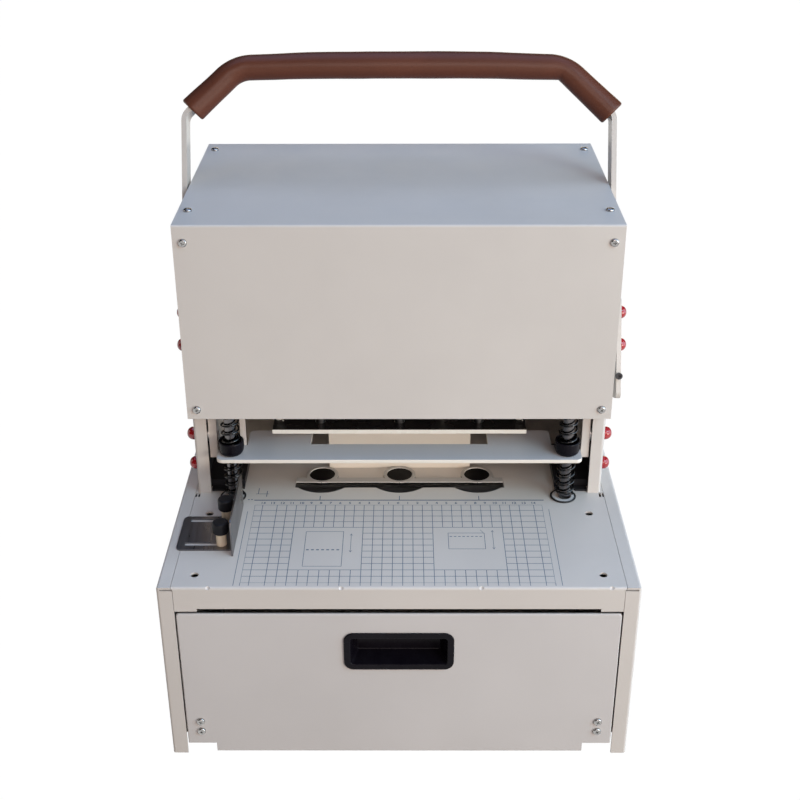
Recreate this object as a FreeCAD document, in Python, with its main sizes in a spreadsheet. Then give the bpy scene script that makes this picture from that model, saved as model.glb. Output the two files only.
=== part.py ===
import FreeCAD, Part
import math
import os
import re

from FreeCAD import Placement, Rotation, Vector

# Document riveting machine: a sheet-steel base cabinet with a drawer, a table with three anvils,
# and an upright frame whose hand lever drives three punches through a rack and pinion.
#
# The model's frame: origin on the floor at the middle of the base, +X to the operator's right,
# +Y to the back, +Z up.  Unless a note says otherwise a "setback" is a distance behind the
# table's front edge and a "rise" is a height above the table's top face.

doc = FreeCAD.newDocument("riveting_machine")
sheet = doc.addObject("Spreadsheet::Sheet", "sizes")

# A size that is text is a formula on the sizes above it, so pieces that belong together move together.
SIZES = [
    # base cabinet
    ("base_width", 440, "over both side panels"),
    ("base_depth", 424, "front edge to back edge"),
    ("base_height", 196, "floor to table top"),
    ("sheet_gauge", 2, "side panels, table plate and floor"),
    ("front_return", 14.5, "side panel's fold at the front and back"),
    ("top_flange", 13, "side panel's fold beside the table"),
    ("seam", 0.4, "gap between two sheets that lie side by side"),
    ("bend_radius", 2.5, "outside radius of a fold in the cabinet sheet"),
    ("lip_height", 23.4, "table plate's fold at the front and back"),
    ("lip_tab_drop", 3, "how far the lip's end tabs hang lower"),
    ("lip_tab_length", 20.5, "length of one tab"),
    ("rail_width", 20, "angle under each side of the table"),
    ("rail_height", 26, "the same angle's upright leg"),
    ("rail_gauge", 3, "the same angle's thickness"),
    # table
    ("table_hole_radius", 3.75, "four holes for accessories"),
    ("table_hole_inset", 32.5, "side panel's outside to those holes"),
    ("table_hole_span", "base_width - 2 * table_hole_inset", "between the holes, left to right"),
    ("table_hole_pitch", 104, "between the holes, front to back"),
    ("table_hole_setback", 20.3, "first row of those holes"),
    ("punch_pitch", 80, "from one punch to the next"),
    ("punch_setback", 196, "line of the three punches"),
    ("scrap_slot_end", 27, "outer punch to the slot's end"),
    ("scrap_slot_length", "2 * punch_pitch + 2 * scrap_slot_end", "slot in front of the anvils"),
    ("scrap_slot_bulge", 33, "radius of the slot's bulge round each anvil"),
    ("scrap_slot_waist", 22.7, "punch line to the slot's front edge between two bulges"),
    ("scrap_slot_back", 10, "punch line to the slot's back edge"),
    # anvils
    ("pad_radius", 13, "nylon cutting pad"),
    ("pad_depth", 12, "how deep a pad sits below the table top"),
    ("pad_rise", 1.5, "pad's top"),
    ("pad_gap", 0.2, "round a pad in its ring and pocket"),
    ("ring_wall", 3.3, "ring round a pad"),
    ("holder_end", 26, "outer punch to the bar's end"),
    ("holder_length", "2 * punch_pitch + 2 * holder_end", "bar that joins the rings"),
    ("holder_rise", 2.5, "height of the bar and rings"),
    ("holder_front", 15.6, "punch line to the bar's front"),
    ("holder_width", 8.5, "bar, front to back"),
    ("anvil_front", 15.5, "punch line to the anvil beam's front"),
    ("anvil_back", 18, "punch line to the anvil beam's back"),
    ("anvil_height", 32, "anvil beam"),
    ("set_screw_radius", 1, "screw that locks a pad in its ring"),
    ("set_screw_proud", 0.8, "how far it stands out of the ring"),
    # back gauge
    ("gauge_inset", 6.5, "outer punch to the gauge's end"),
    ("gauge_width", "2 * punch_pitch - 2 * gauge_inset", "back gauge plate"),
    ("gauge_height", 44, "back gauge plate"),
    ("gauge_back", 16.8, "punch line to the gauge's front face"),
    ("gauge_sheet", 2, "thickness of the gauge plate"),
    ("gauge_foot", 30, "gauge's foot, front to back"),
    # upright frame
    ("frame_inset", 16, "side panel's outside to the frame side's"),
    ("frame_width", "base_width - 2 * frame_inset", "over both frame sides"),
    ("frame_gauge", 2.5, "frame side sheet"),
    ("post_flange", 13, "frame side's folds"),
    ("post_bend", 3, "outside radius of the post's fold"),
    ("post_setback", 163.3, "front of the posts"),
    ("post_slot_length", 8, "slots through the table in front of each post"),
    ("post_slot_width", 2.2, "width of one slot"),
    ("post_slot_pitch", 3.2, "between the two slots"),
    ("cover_setback", 146, "front of the head cover"),
    ("cover_back_gap", 22, "cover's back to the table's back edge"),
    ("cover_depth", "base_depth - cover_setback - cover_back_gap", "head cover, front to back"),
    ("cover_side", 1.2, "cover's end beyond the frame side"),
    ("cover_width", "frame_width + 2 * cover_side", "head cover"),
    ("cover_gauge", 1.5, "head cover sheet"),
    ("cover_bottom", 94.5, "rise of the cover's lower edge"),
    ("cover_top", 292.5, "rise of the cover's top face"),
    ("cover_bend", 2.2, "outside radius of the cover's fold"),
    ("bearing_inset", 22.5, "frame side's outside to the bearing plate's inside"),
    ("bearing_span", "frame_width - 2 * bearing_inset", "between the two bearing plates"),
    ("bearing_gauge", 8, "bearing plate"),
    ("bearing_setback", 166.2, "bearing plate's front edge"),
    ("bearing_depth", 134, "bearing plate, front to back"),
    ("bearing_bottom", 40, "rise of its lower edge"),
    ("bearing_drop", 30.5, "cover's top to the bearing plate's upper edge"),
    ("bearing_top", "cover_top - bearing_drop", "rise of its upper edge"),
    ("spacer_radius", 8, "spacer between bearing plate and frame side"),
    ("spacer_lift", 23, "bearing plate's lower edge to the lower spacers"),
    ("spacer_low_rise", "bearing_bottom + spacer_lift", "lower spacers"),
    ("spacer_drop", 22, "bearing plate's upper edge to the upper spacers"),
    ("spacer_high_rise", "bearing_top - spacer_drop", "upper spacers"),
    ("spacer_setback", 175, "front spacers and the bolts in line with them"),
    ("spacer_pitch", 110, "front spacers to back spacers"),
    ("foot_rise", 38, "foot bracket's upright leg"),
    ("foot_gauge", 6, "foot bracket's upright leg, thickness"),
    ("foot_plate", 2, "foot bracket's thin front plate"),
    ("foot_bar", 8, "foot bracket's thick bar"),
    ("foot_width", 46, "frame side's outside to the bracket's inner end"),
    ("foot_inner", "frame_width / 2 - foot_width", "machine's middle to the foot bracket"),
    ("foot_step", 176, "setback where the thick bar begins"),
    ("foot_back", 250, "setback of the bracket's back edge"),
    ("foot_bolt_drop", 9, "foot bracket's upper edge to the lower domed bolt"),
    ("foot_bolt_rise", "foot_rise - foot_bolt_drop", "lower domed bolt"),
    # cross shaft and gearing
    ("pivot_setback", 212, "cross shaft"),
    ("pivot_rise", 161, "cross shaft"),
    ("shaft_radius", 10, "cross shaft"),
    ("shaft_clearance", 0.05, "round the shaft in its bushes"),
    ("bush_wall", 4, "shaft bush"),
    ("bush_length", 14, "shaft bush"),
    ("flange_radius", 24, "flange on each end of the shaft"),
    ("flange_gauge", 6, "the same flange's thickness"),
    ("flange_gap", 2, "round the flange in the frame side"),
    ("gear_module", 2.5, "tooth size of pinion and rack"),
    ("gear_teeth", 26, "teeth on a pinion"),
    ("gear_width", 14, "pinion and rack"),
    ("gear_outset", 25, "outer punch to the pinion beside it"),
    ("gear_offset", "punch_pitch + gear_outset", "machine's middle to each pinion"),
    ("hub_radius", 17, "pinion hub"),
    ("hub_length", 26, "pinion hub"),
    ("tooth_play", 0.5, "gap between two meshing flanks"),
    ("rack_depth", 14, "rack bar, front face to tooth tips"),
    ("rack_margin", 14, "toothed length kept beyond the stroke"),
    ("punch_stroke", 60, "travel of the crosshead"),
    # guide rods and their springs
    ("rod_radius", 6, "guide rod"),
    ("rod_inset", 15, "bearing plate to guide rod"),
    ("rod_offset", "bearing_span / 2 - rod_inset", "machine's middle to a guide rod"),
    ("rod_setback", 157, "guide rods"),
    ("rod_tail", 14, "how far a rod reaches below the table top"),
    ("rod_gap", 0.3, "round a rod where a plate passes it"),
    ("rod_fit", 0.05, "round a rod in a bush"),
    ("rod_nut_radius", 10, "nut under the table"),
    ("rod_nut_height", 8, "nut under the table"),
    ("tie_height", 14, "upper tie bar"),
    ("tie_depth", 26, "upper tie bar, front to back"),
    ("coil_radius", 8.5, "press springs, middle of the wire"),
    ("coil_wire", 1, "press spring wire's radius"),
    ("coil_pitch", 9, "press springs"),
    ("seat_height", 1.5, "washer under a lower spring"),
    ("seat_radius", 11, "the same washer"),
    ("seat_bore", 8.1, "the same washer's hole"),
    ("seat_slip", 1.35, "how far washer and ring lie off the rod, to the left and forwards"),
    ("ring_radius", 13.1, "loose rubber ring round a rod's foot"),
    ("ring_section", 0.95, "loose ring, across its section"),
    # press plate
    ("press_rise", 47, "underside at rest"),
    ("press_gauge", 4, "press plate"),
    ("press_setback", 142, "front edge"),
    ("press_side_gap", 1.2, "ear to bearing plate"),
    ("press_width", "bearing_span - 2 * press_side_gap", "over the two ears"),
    ("press_ear_depth", 30, "ears, front to back"),
    ("press_ear", 27.8, "how far an ear stands out"),
    ("press_tail_width", "press_width - 2 * press_ear", "behind the ears"),
    ("press_depth", 60, "front edge to back edge"),
    ("window_side", 8.7, "outer punch to the cut-out's end"),
    ("window_width", "2 * punch_pitch + 2 * window_side", "cut-out that the punches pass through"),
    ("window_setback", 173.5, "front edge of that cut-out"),
    ("press_corner", 6, "radius of the front corners"),
    ("press_tail_corner", 5, "radius of the rear corners"),
    ("indicator_gap", 1, "height strip to the plate's tail"),
    ("indicator_inner", "press_tail_width / 2 + indicator_gap", "machine's middle to the height strip"),
    ("indicator_width", 5.5, "height strip, left to right"),
    ("indicator_gauge", 3, "height strip, front to back"),
    ("indicator_top", 150, "rise of the strip's upper end"),
    ("knob_radius", 12.7, "knurled collar on the press plate"),
    ("knob_height", 12, "knurled collar"),
    ("knob_recess", 4, "cup in its top, depth"),
    ("knurl_flutes", 30, "flutes round a knurled knob"),
    ("knurl_groove", 0.5, "depth of a flute"),
    ("knurl_chamfer", 1.2, "a knurled knob's rims"),
    # guide plate
    ("guide_rise", 60.5, "underside at rest"),
    ("guide_gauge", 4.5, "punch guide plate"),
    ("guide_end", 47.5, "outer punch to the guide plate's end"),
    ("guide_width", "2 * punch_pitch + 2 * guide_end", "punch guide plate"),
    ("guide_front", 18, "punch line to its front edge"),
    ("guide_back", 15.5, "punch line to its back edge"),
    ("stud_radius", 1.5, "small studs on the guide plate"),
    ("stud_back", 13.3, "punch line to the row of studs"),
    ("guide_coil_inset", 6, "guide plate's end to its spring"),
    ("guide_coil_offset", "guide_width / 2 - guide_coil_inset", "machine's middle to a guide plate spring"),
    ("guide_coil_radius", 3.4, "guide plate springs, middle of the wire"),
    ("guide_coil_wire", 0.6, "guide plate spring wire's radius"),
    ("guide_coil_pitch", 4, "guide plate springs"),
    # crosshead and punches
    ("crosshead_rise", 108, "underside at rest"),
    ("crosshead_gauge", 18, "crosshead bar, height"),
    ("crosshead_gap", 3.5, "crosshead's end to the bearing plate"),
    ("crosshead_length", "bearing_span - 2 * crosshead_gap", "crosshead bar"),
    ("crosshead_setback", 148, "front face"),
    ("crosshead_depth", 66, "front face to back face"),
    ("rod_bush_wall", 1.5, "bush on a guide rod"),
    ("rod_bush_length", 22, "bush on a guide rod"),
    ("punch_radius", 5, "punch"),
    ("punch_bore", 3, "hollow of the punch"),
    ("punch_rise", 62, "cutting edge at rest"),
    ("punch_edge", 2.5, "height of the ground cutting edge"),
    ("holder_radius", 9, "punch holder"),
    ("holder_drop", 22, "punch holder below the crosshead"),
    # hand lever
    ("lever_lean", 24, "degrees the lever leans back at rest"),
    ("arm_gap", 1.8, "lever arm to the head cover's end"),
    ("arm_span", "cover_width + 2 * arm_gap", "between the two lever arms"),
    ("arm_gauge", 5, "lever arm's thickness"),
    ("arm_width", 22, "lever arm's width"),
    ("arm_tail", 28, "below the shaft"),
    ("grip_reach", 257.4, "shaft to the middle of the grip"),
    ("grip_shoulder", 47, "lever arm's inside to the grip's bend"),
    ("grip_straight", "arm_span - 2 * grip_shoulder", "grip between its two bends"),
    ("grip_radius", 13, "foam grip"),
    ("grip_bend", 34, "radius of the grip's bends"),
    ("arm_bend", 12, "radius where an arm turns inwards"),
    ("grip_inset_left", 4, "grip's left end above the arm's bend"),
    ("grip_inset_right", 0, "grip's right end above the arm's bend"),
    ("bolt_pitch", 32, "between an arm's two domed bolts"),
    ("bolt_radius", 3, "domed bolt's shank"),
    ("dome_radius", 6.6, "red dome"),
    ("dome_height", 8.5, "red dome"),
    ("side_plate_gauge", 4.5, "plate outside the right arm"),
    ("side_plate_front", 22, "shaft to its front edge"),
    ("side_plate_back", 16, "shaft to its back edge"),
    ("side_plate_top", 30, "shaft to its upper end"),
    ("side_plate_bottom", 68.5, "shaft to its lower end"),
    ("side_plate_corner", 6, "radius of its corners"),
    ("stop_screw_radius", 3.3, "black screw in the plate's front edge, head"),
    ("stop_screw_head", 4, "height of that screw's head"),
    ("stop_screw_drop", 46.5, "below the shaft"),
    ("stop_screw_shank", 1.5, "radius of its shank"),
    ("stop_screw_length", 10, "its shank"),
    # screws
    ("screw_radius", 4, "pan head of a cover screw"),
    ("screw_head", 2.4, "height of that head"),
    ("screw_shank", 2, "radius of its shank"),
    ("screw_length", 7, "its shank"),
    ("cover_screw_inset", 9.7, "cover's end to its screws"),
    ("cover_screw_span", "cover_width - 2 * cover_screw_inset", "cover screws, left to right"),
    ("cover_screw_above", 10.4, "cover's lower edge to the lower front screws"),
    ("cover_screw_low", "cover_bottom + cover_screw_above", "rise of the lower front screws"),
    ("cover_screw_below", 16.6, "cover's top to the upper front screws"),
    ("cover_screw_high", "cover_top - cover_screw_below", "rise of the upper front screws"),
    ("cover_screw_behind", 39, "cover's front to the first screws on its top"),
    ("cover_screw_front", "cover_setback + cover_screw_behind", "setback of the front screws on the top"),
    ("cover_screw_end", 23.4, "cover's back to the last screws on its top"),
    ("cover_screw_back", "cover_setback + cover_depth - cover_screw_end", "last screws on the top"),
    # paper stop
    ("stop_inset", 9, "side panel's outside to the stop"),
    ("stop_left", "base_width / 2 - stop_inset", "machine's middle to the stop's outer edge"),
    ("stop_width", 53.8, "paper stop, left to right"),
    ("stop_wall", "stop_left - stop_width", "machine's middle to the stop's paper face"),
    ("stop_gauge", 1.5, "paper stop sheet"),
    ("stop_setback", 59, "front of the stop's foot"),
    ("stop_depth", 57.6, "foot, front to back"),
    ("wall_setback", 50, "front of the stop's wall"),
    ("stop_corner", 5, "radius of the foot's outer corners and the wall's upper ones"),
    ("wall_back", 140, "setback of the wall's back end"),
    ("wall_height", 38, "paper stop wall"),
    ("clamp_inset", 42.5, "stop's outer edge to the clamp screws"),
    ("clamp_offset", "stop_left - clamp_inset", "machine's middle to the clamp screws"),
    ("clamp_front", 68.5, "setback of the front clamp"),
    ("clamp_pitch", 41, "front clamp to back clamp"),
    ("clamp_slot", 33, "slot in the stop, between its end centres"),
    ("clamp_slot_radius", 2.6, "slot's half width"),
    ("clamp_screw", 2.2, "clamp screw's radius"),
    ("sleeve_radius", 5, "clamp sleeve"),
    ("sleeve_height", 13.5, "clamp sleeve"),
    ("clamp_knob_radius", 7.8, "clamp knob"),
    ("clamp_knob_height", 12, "clamp knob"),
    ("slide_gap", 0.05, "under a flat part that slides"),
    ("stop_travel", 25, "how far the paper stop moves inwards"),
    # drawer
    ("drawer_gap", 2.5, "drawer front to the side panel's fold"),
    ("drawer_width", "base_width - 2 * front_return - 2 * drawer_gap", "drawer front"),
    ("drawer_gauge", 1.2, "drawer sheet"),
    ("drawer_reveal", 6, "gap under the table's lip"),
    ("drawer_clear", 2.7, "drawer front above the floor"),
    ("drawer_fold", 12, "drawer front's folds"),
    ("drawer_hem", "2 * drawer_gauge", "thickness of its upper edge, which is folded back on itself"),
    ("drawer_hem_height", 8, "how far down that fold reaches"),
    ("drawer_corner", 3, "radius of its upper corners"),
    ("drawer_notch", 26, "cut from each lower corner, width"),
    ("drawer_notch_height", 9.8, "cut from each lower corner, height"),
    ("tray_inset", 7, "drawer front's end to the tray's side"),
    ("tray_width", "drawer_width - 2 * tray_inset", "drawer tray"),
    ("tray_back_gap", 14, "tray's back to the cabinet's back"),
    ("tray_depth", "base_depth - tray_back_gap", "drawer tray, front to back"),
    ("tray_bottom", 16, "tray's floor above the ground"),
    ("tray_top_gap", 70, "tray's upper edge to the table top"),
    ("tray_height", "base_height - tray_bottom - tray_top_gap", "tray's walls"),
    ("runner_height", 34, "drawer runner"),
    ("runner_low", 60, "runner above the ground"),
    ("runner_inset", 15, "tray's end to the runner's end"),
    ("runner_length", "tray_depth - 2 * runner_inset", "drawer runner"),
    ("runner_gap", 0.5, "between the two halves of a runner"),
    ("drawer_screw_inset", 12.65, "drawer front's end to its screws"),
    ("drawer_screw_span", "drawer_width - 2 * drawer_screw_inset", "drawer screws, left to right"),
    ("drawer_screw_low", 27.8, "lower screw above the ground"),
    ("drawer_screw_pitch", 11.9, "between the two screws"),
    ("pull_width", 102.5, "plastic pull"),
    ("pull_height", 42, "plastic pull"),
    ("pull_drop", 71.25, "table top to the pull's middle"),
    ("pull_centre", "base_height - pull_drop", "pull's middle above the ground"),
    ("pull_proud", 2, "bezel in front of the drawer"),
    ("pull_bezel", 4, "bezel's width"),
    ("pull_corner", 9, "bezel's corners"),
    ("pull_depth", 18, "pull behind the drawer's face"),
    ("pull_wall", 2, "pull's moulded wall"),
    ("pull_taper", 7, "how far the recess draws in"),
]

ALIASES = {alias for alias, value, note in SIZES}
for row, (alias, value, note) in enumerate(SIZES, 1):
    sheet.set(f"A{row}", note)
    sheet.set(f"B{row}", f"={value}")
    sheet.setAlias(f"B{row}", alias)
doc.recompute()

NODES = []


def size(alias):
    """The number that a cell of the sheet holds."""
    return float(sheet.get(alias))


def expression(text):
    """A formula on plain alias names, as FreeCAD's expression engine reads it."""
    return re.sub(r"[a-z_]+", lambda m: "sizes." + m[0] if m[0] in ALIASES else m[0], text)


def back(text):
    """A setback behind the table's front edge, as a Y formula."""
    return f"{text} - base_depth / 2"


def up(text):
    """A rise above the table's top face, as a Z formula."""
    return f"{text} + base_height"


def place(obj, x, y, z):
    for axis, text in zip("xyz", (x, y, z)):
        obj.setExpression(f"Placement.Base.{axis}", expression(text))


def block(name, x, y, z):
    """A box between pairs of planes; each plane is a formula."""
    box = doc.addObject("Part::Box", name)
    for prop, (low, high) in zip(("Length", "Width", "Height"), (x, y, z)):
        box.setExpression(prop, expression(f"({high}) - ({low})"))
    place(box, x[0], y[0], z[0])
    return box


TURNS = {
    "X": Rotation(Vector(0, 1, 0), 90),
    "-X": Rotation(Vector(0, 1, 0), -90),
    "Y": Rotation(Vector(1, 0, 0), -90),
    "-Y": Rotation(Vector(1, 0, 0), 90),
    "Z": Rotation(),
    "-Z": Rotation(Vector(1, 0, 0), 180),
}


def rod(name, axis, x, y, z, radius, length):
    """A cylinder that starts at a point and runs along an axis."""
    cylinder = doc.addObject("Part::Cylinder", name)
    cylinder.Placement = Placement(Vector(), TURNS[axis])
    cylinder.setExpression("Radius", expression(radius))
    cylinder.setExpression("Height", expression(length))
    place(cylinder, x, y, z)
    return cylinder


def joined(name, *pieces):
    fuse = doc.addObject("Part::MultiFuse", name)
    fuse.Shapes = list(pieces)
    return fuse


def grouped(name, *pieces):
    """Separate solids that share one node, such as a set of screws."""
    group = doc.addObject("Part::Compound", name)
    group.Links = list(pieces)
    return group


def cut(name, body, *tools):
    result = doc.addObject("Part::Cut", name)
    result.Base = body
    result.Tool = tools[0] if len(tools) == 1 else joined(name + "_tools", *tools)
    return result


def shared(name, one, other):
    result = doc.addObject("Part::Common", name)
    result.Base = one
    result.Tool = other
    return result


def mirrored(name, source):
    """The same piece on the other side of the machine's middle plane."""
    mirror = doc.addObject("Part::Mirroring", name)
    mirror.Source = source
    mirror.Normal = Vector(1, 0, 0)
    return mirror


def rounded(name, body, radius, wanted):
    """Fillets on the edges whose box passes the test given."""
    doc.recompute()
    fillet = doc.addObject("Part::Fillet", name)
    fillet.Base = body
    edges = [
        index
        for index, edge in enumerate(body.Shape.Edges, 1)
        if wanted(edge.BoundBox)
    ]
    fillet.Edges = [(index, radius, radius) for index in edges]
    return fillet


def solid(name, shape, placement=None):
    """A piece whose shape is worked out here from the sheet."""
    feature = doc.addObject("Part::Feature", name)
    feature.Shape = shape
    if placement is not None:
        feature.Placement = placement
    return feature


def node(name, obj):
    """Names a finished sub-part; its file gets the same name."""
    obj.Label = name
    NODES.append(obj)
    return obj


def point(x, setback, rise):
    """A point of the model from a setback and a rise, as numbers."""
    return Vector(x, setback - size("base_depth") / 2, rise + size("base_height"))


def near(one, other):
    return abs(one - other) < 1e-4


# ---------------------------------------------------------------- shapes worked out in code


def coil(radius, wire, length, pitch):
    """A spring that stands on the origin and is `length` high over its wire."""
    rise = length - 2 * wire
    turns = max(1, round(rise / pitch))
    path = Part.Wire(Part.makeHelix(rise / turns, rise, radius).Edges)
    ring = Part.makeCircle(wire, Vector(radius, 0, 0), Vector(0, 1, 0))
    spring = path.makePipeShell([Part.Wire([ring])], True, True)
    spring.translate(Vector(0, 0, wire))
    return spring


def turned(profile, axis=Vector(0, 0, 1)):
    """A closed (radius, height) outline turned round Z, then aimed along an axis."""
    points = [Vector(r, 0, h) for r, h in profile]
    face = Part.Face(Part.makePolygon(points + points[:1]))
    shape = face.revolve(Vector(), Vector(0, 0, 1), 360)
    shape.Placement = Placement(Vector(), Rotation(Vector(0, 0, 1), axis))
    return shape


def pan_screw(at, axis):
    """A pan-head screw with a cross recess; `at` is under its head."""
    head_radius, head = size("screw_radius"), size("screw_head")
    shank, length = size("screw_shank"), size("screw_length")
    crown = 0.55 * head
    shape = turned(
        [
            (0, -length),
            (shank, -length),
            (shank, 0),
            (head_radius, 0),
            (head_radius, crown),
            (0.8 * head_radius, 0.85 * head),
            (0.45 * head_radius, head),
            (0, head),
        ]
    )
    arm, slot = 0.55 * head_radius, 0.2 * head_radius
    for turn in (0, 90):
        bar = Part.makeBox(2 * arm, slot, head, Vector(-arm, -slot / 2, crown))
        bar.rotate(Vector(), Vector(0, 0, 1), turn)
        shape = shape.cut(bar)
    shape.Placement = Placement(at, Rotation(Vector(0, 0, 1), axis))
    return shape


def domed_bolt(at, axis, grip):
    """A bolt under a red dome; `at` is on the face that the dome sits on."""
    radius, height, shank = size("dome_radius"), size("dome_height"), size("bolt_radius")
    skirt = height - radius * 0.9
    dome = Part.makeCylinder(radius, skirt)
    cap = Part.makeSphere(radius, Vector(), Vector(0, 0, 1), 0, 90)
    squeeze = FreeCAD.Matrix()
    squeeze.scale(1, 1, (height - skirt) / radius)
    cap = cap.transformGeometry(squeeze)
    cap.translate(Vector(0, 0, skirt))
    stem = Part.makeCylinder(shank, grip + 1, Vector(0, 0, -grip))
    shape = dome.fuse(cap).fuse(stem).removeSplitter()
    shape.Placement = Placement(at, Rotation(Vector(0, 0, 1), axis))
    return shape


def knurled(radius, height, bore, recess_radius, recess):
    """A collar with vertical flutes, a chamfered rim and a cup in its top."""
    flutes = int(size("knurl_flutes"))
    groove, chamfer = size("knurl_groove"), size("knurl_chamfer")
    points = []
    for step in range(2 * flutes):
        reach = radius - (groove if step % 2 else 0)
        angle = math.pi * step / flutes
        points.append(Vector(reach * math.cos(angle), reach * math.sin(angle), 0))
    shape = Part.Face(Part.makePolygon(points + points[:1])).extrude(Vector(0, 0, height))
    rim = turned(
        [
            (0, 0),
            (radius - chamfer, 0),
            (radius, chamfer),
            (radius, height - chamfer),
            (radius - chamfer, height),
            (0, height),
        ]
    )
    shape = shape.common(rim)
    if recess:
        shape = shape.cut(Part.makeCylinder(recess_radius, recess + 1, Vector(0, 0, height - recess)))
    if bore:
        shape = shape.cut(Part.makeCylinder(bore, height + 2, Vector(0, 0, -1)))
    return shape


# straight pieces that one side of a tooth is drawn with
FLANK_STEPS = 5


def pinion():
    """An involute pinion whose axis is X, with one tooth pointing to the front."""
    module, teeth = size("gear_module"), int(size("gear_teeth"))
    pitch_radius = module * teeth / 2
    pressure = math.radians(20)
    base = pitch_radius * math.cos(pressure)
    tip, root = pitch_radius + module, pitch_radius - 1.25 * module
    half = (math.pi * module / 2 - size("tooth_play")) / (2 * pitch_radius)

    def involute(angle):
        return math.tan(angle) - angle

    flank = []
    for step in range(FLANK_STEPS + 1):
        radius = base + (tip - base) * step / FLANK_STEPS
        angle = half + involute(pressure) - involute(math.acos(base / radius))
        flank.append((radius, angle))
    outline = []
    for tooth in range(teeth):
        middle = 2 * math.pi * tooth / teeth
        outline.append((root, middle - flank[0][1]))
        outline += [(radius, middle - angle) for radius, angle in flank]
        outline += [(radius, middle + angle) for radius, angle in reversed(flank)]
        outline.append((root, middle + flank[0][1]))
    # angle zero points to the front, -Y; the teeth are drawn in the Y-Z plane
    points = [Vector(0, -r * math.cos(a), r * math.sin(a)) for r, a in outline]
    width, hub = size("gear_width"), size("hub_length")
    wheel = Part.Face(Part.makePolygon(points + points[:1])).extrude(Vector(width, 0, 0))
    wheel.translate(Vector(-width / 2, 0, 0))
    boss = Part.makeCylinder(size("hub_radius"), hub, Vector(-hub / 2, 0, 0), Vector(1, 0, 0))
    bore = Part.makeCylinder(size("shaft_radius"), hub + 2, Vector(-hub / 2 - 1, 0, 0), Vector(1, 0, 0))
    return wheel.fuse(boss).cut(bore)


def rack(bottom, top):
    """A rack whose teeth point to the back; Y = 0 is its pitch line, Z = 0 the shaft's height."""
    module, width = size("gear_module"), size("gear_width")
    tooth = math.pi * module
    half = tooth / 4 - size("tooth_play") / 4
    slope = math.tan(math.radians(20))
    tip, root = module, -1.25 * module
    front = tip - size("rack_depth")
    points = [Vector(0, front, bottom), Vector(0, root, bottom)]
    # a tooth space faces the pinion's front tooth, so teeth stand half a pitch off the middle
    first = math.ceil((bottom + tooth / 2) / tooth) + 0.5
    count = int((top - bottom - tooth) / tooth)
    for index in range(count):
        middle = (first + index) * tooth
        if middle + tooth / 2 > top:
            break
        points += [
            Vector(0, root, middle - half + root * slope),
            Vector(0, tip, middle - half + tip * slope),
            Vector(0, tip, middle + half - tip * slope),
            Vector(0, root, middle + half - root * slope),
        ]
    points += [Vector(0, root, top), Vector(0, front, top)]
    bar = Part.Face(Part.makePolygon(points + points[:1])).extrude(Vector(width, 0, 0))
    bar.translate(Vector(-width / 2, 0, 0))
    return bar


def bent_path(points, radii):
    """A wire of straight runs through the points, with an arc of its own radius at each corner."""
    edges = []
    start = points[0]
    for before, corner, after, radius in zip(points, points[1:], points[2:], radii):
        into = (corner - before).normalize()
        out = (after - corner).normalize()
        turn = math.acos(max(-1, min(1, into.dot(out))))
        trim = radius * math.tan(turn / 2)
        first, last = corner - into * trim, corner + out * trim
        inward = (out - into).normalize()
        middle = corner + inward * (radius / math.cos(turn / 2) - radius)
        edges.append(Part.LineSegment(start, first).toShape())
        edges.append(Part.Arc(first, middle, last).toShape())
        start = last
    edges.append(Part.LineSegment(start, points[-1]).toShape())
    return Part.Wire(edges)


def swept(path, section):
    return path.makePipeShell([section], True, False)


# ---------------------------------------------------------------- base cabinet


def side_panel():
    """Right side panel: a pan folded at the front, the back and the top, open below."""
    edge = "base_width / 2"
    slab = block(
        "side_slab",
        (f"{edge} - front_return", edge),
        ("-base_depth / 2", "base_depth / 2"),
        ("0 * base_height", "base_height"),
    )
    hollow = block(
        "side_hollow",
        (f"{edge} - front_return - 1", f"{edge} - sheet_gauge"),
        ("sheet_gauge - base_depth / 2", "base_depth / 2 - sheet_gauge"),
        ("-1 * sheet_gauge", "base_height - sheet_gauge"),
    )
    seat = block(
        "side_seat",
        (f"{edge} - front_return - 1", f"{edge} - top_flange"),
        ("-base_depth / 2 - 1", "base_depth / 2 + 1"),
        ("base_height - sheet_gauge", "base_height + 1"),
    )
    slit = block(
        "side_corner_slit",
        (f"{edge} - front_return - 1", f"{edge} - 1.4 * sheet_gauge"),
        ("-base_depth / 2 - 1", "sheet_gauge - base_depth / 2"),
        ("base_height - 1.8 * sheet_gauge", "base_height - sheet_gauge"),
    )
    panel = cut("side_panel_sheet", slab, hollow, seat, slit)
    half, depth, radius = size("base_width") / 2, size("base_depth") / 2, size("bend_radius")
    top = size("base_height")
    return rounded(
        "side_panel_folds",
        panel,
        radius,
        lambda box: near(box.XMin, half)
        and near(box.XMax, half)
        and (near(abs(box.YMin), depth) and near(box.YMin, box.YMax) or near(box.ZMin, top)),
    )


def table_rail():
    """Angle under the right edge of the table, on the side panel's wall."""
    wall = "base_width / 2 - sheet_gauge"
    length = ("2 * front_return - base_depth / 2", "base_depth / 2 - 2 * front_return")
    flat = block("rail_flat", (f"{wall} - rail_width", wall), length,
                 ("base_height - sheet_gauge - rail_gauge", "base_height - sheet_gauge"))
    leg = block("rail_leg", (f"{wall} - rail_gauge", wall), length,
                ("base_height - sheet_gauge - rail_height", "base_height - sheet_gauge"))
    return cut("table_rail", joined("rail_angle", flat, leg), *post_slots("rail", ""))


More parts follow.
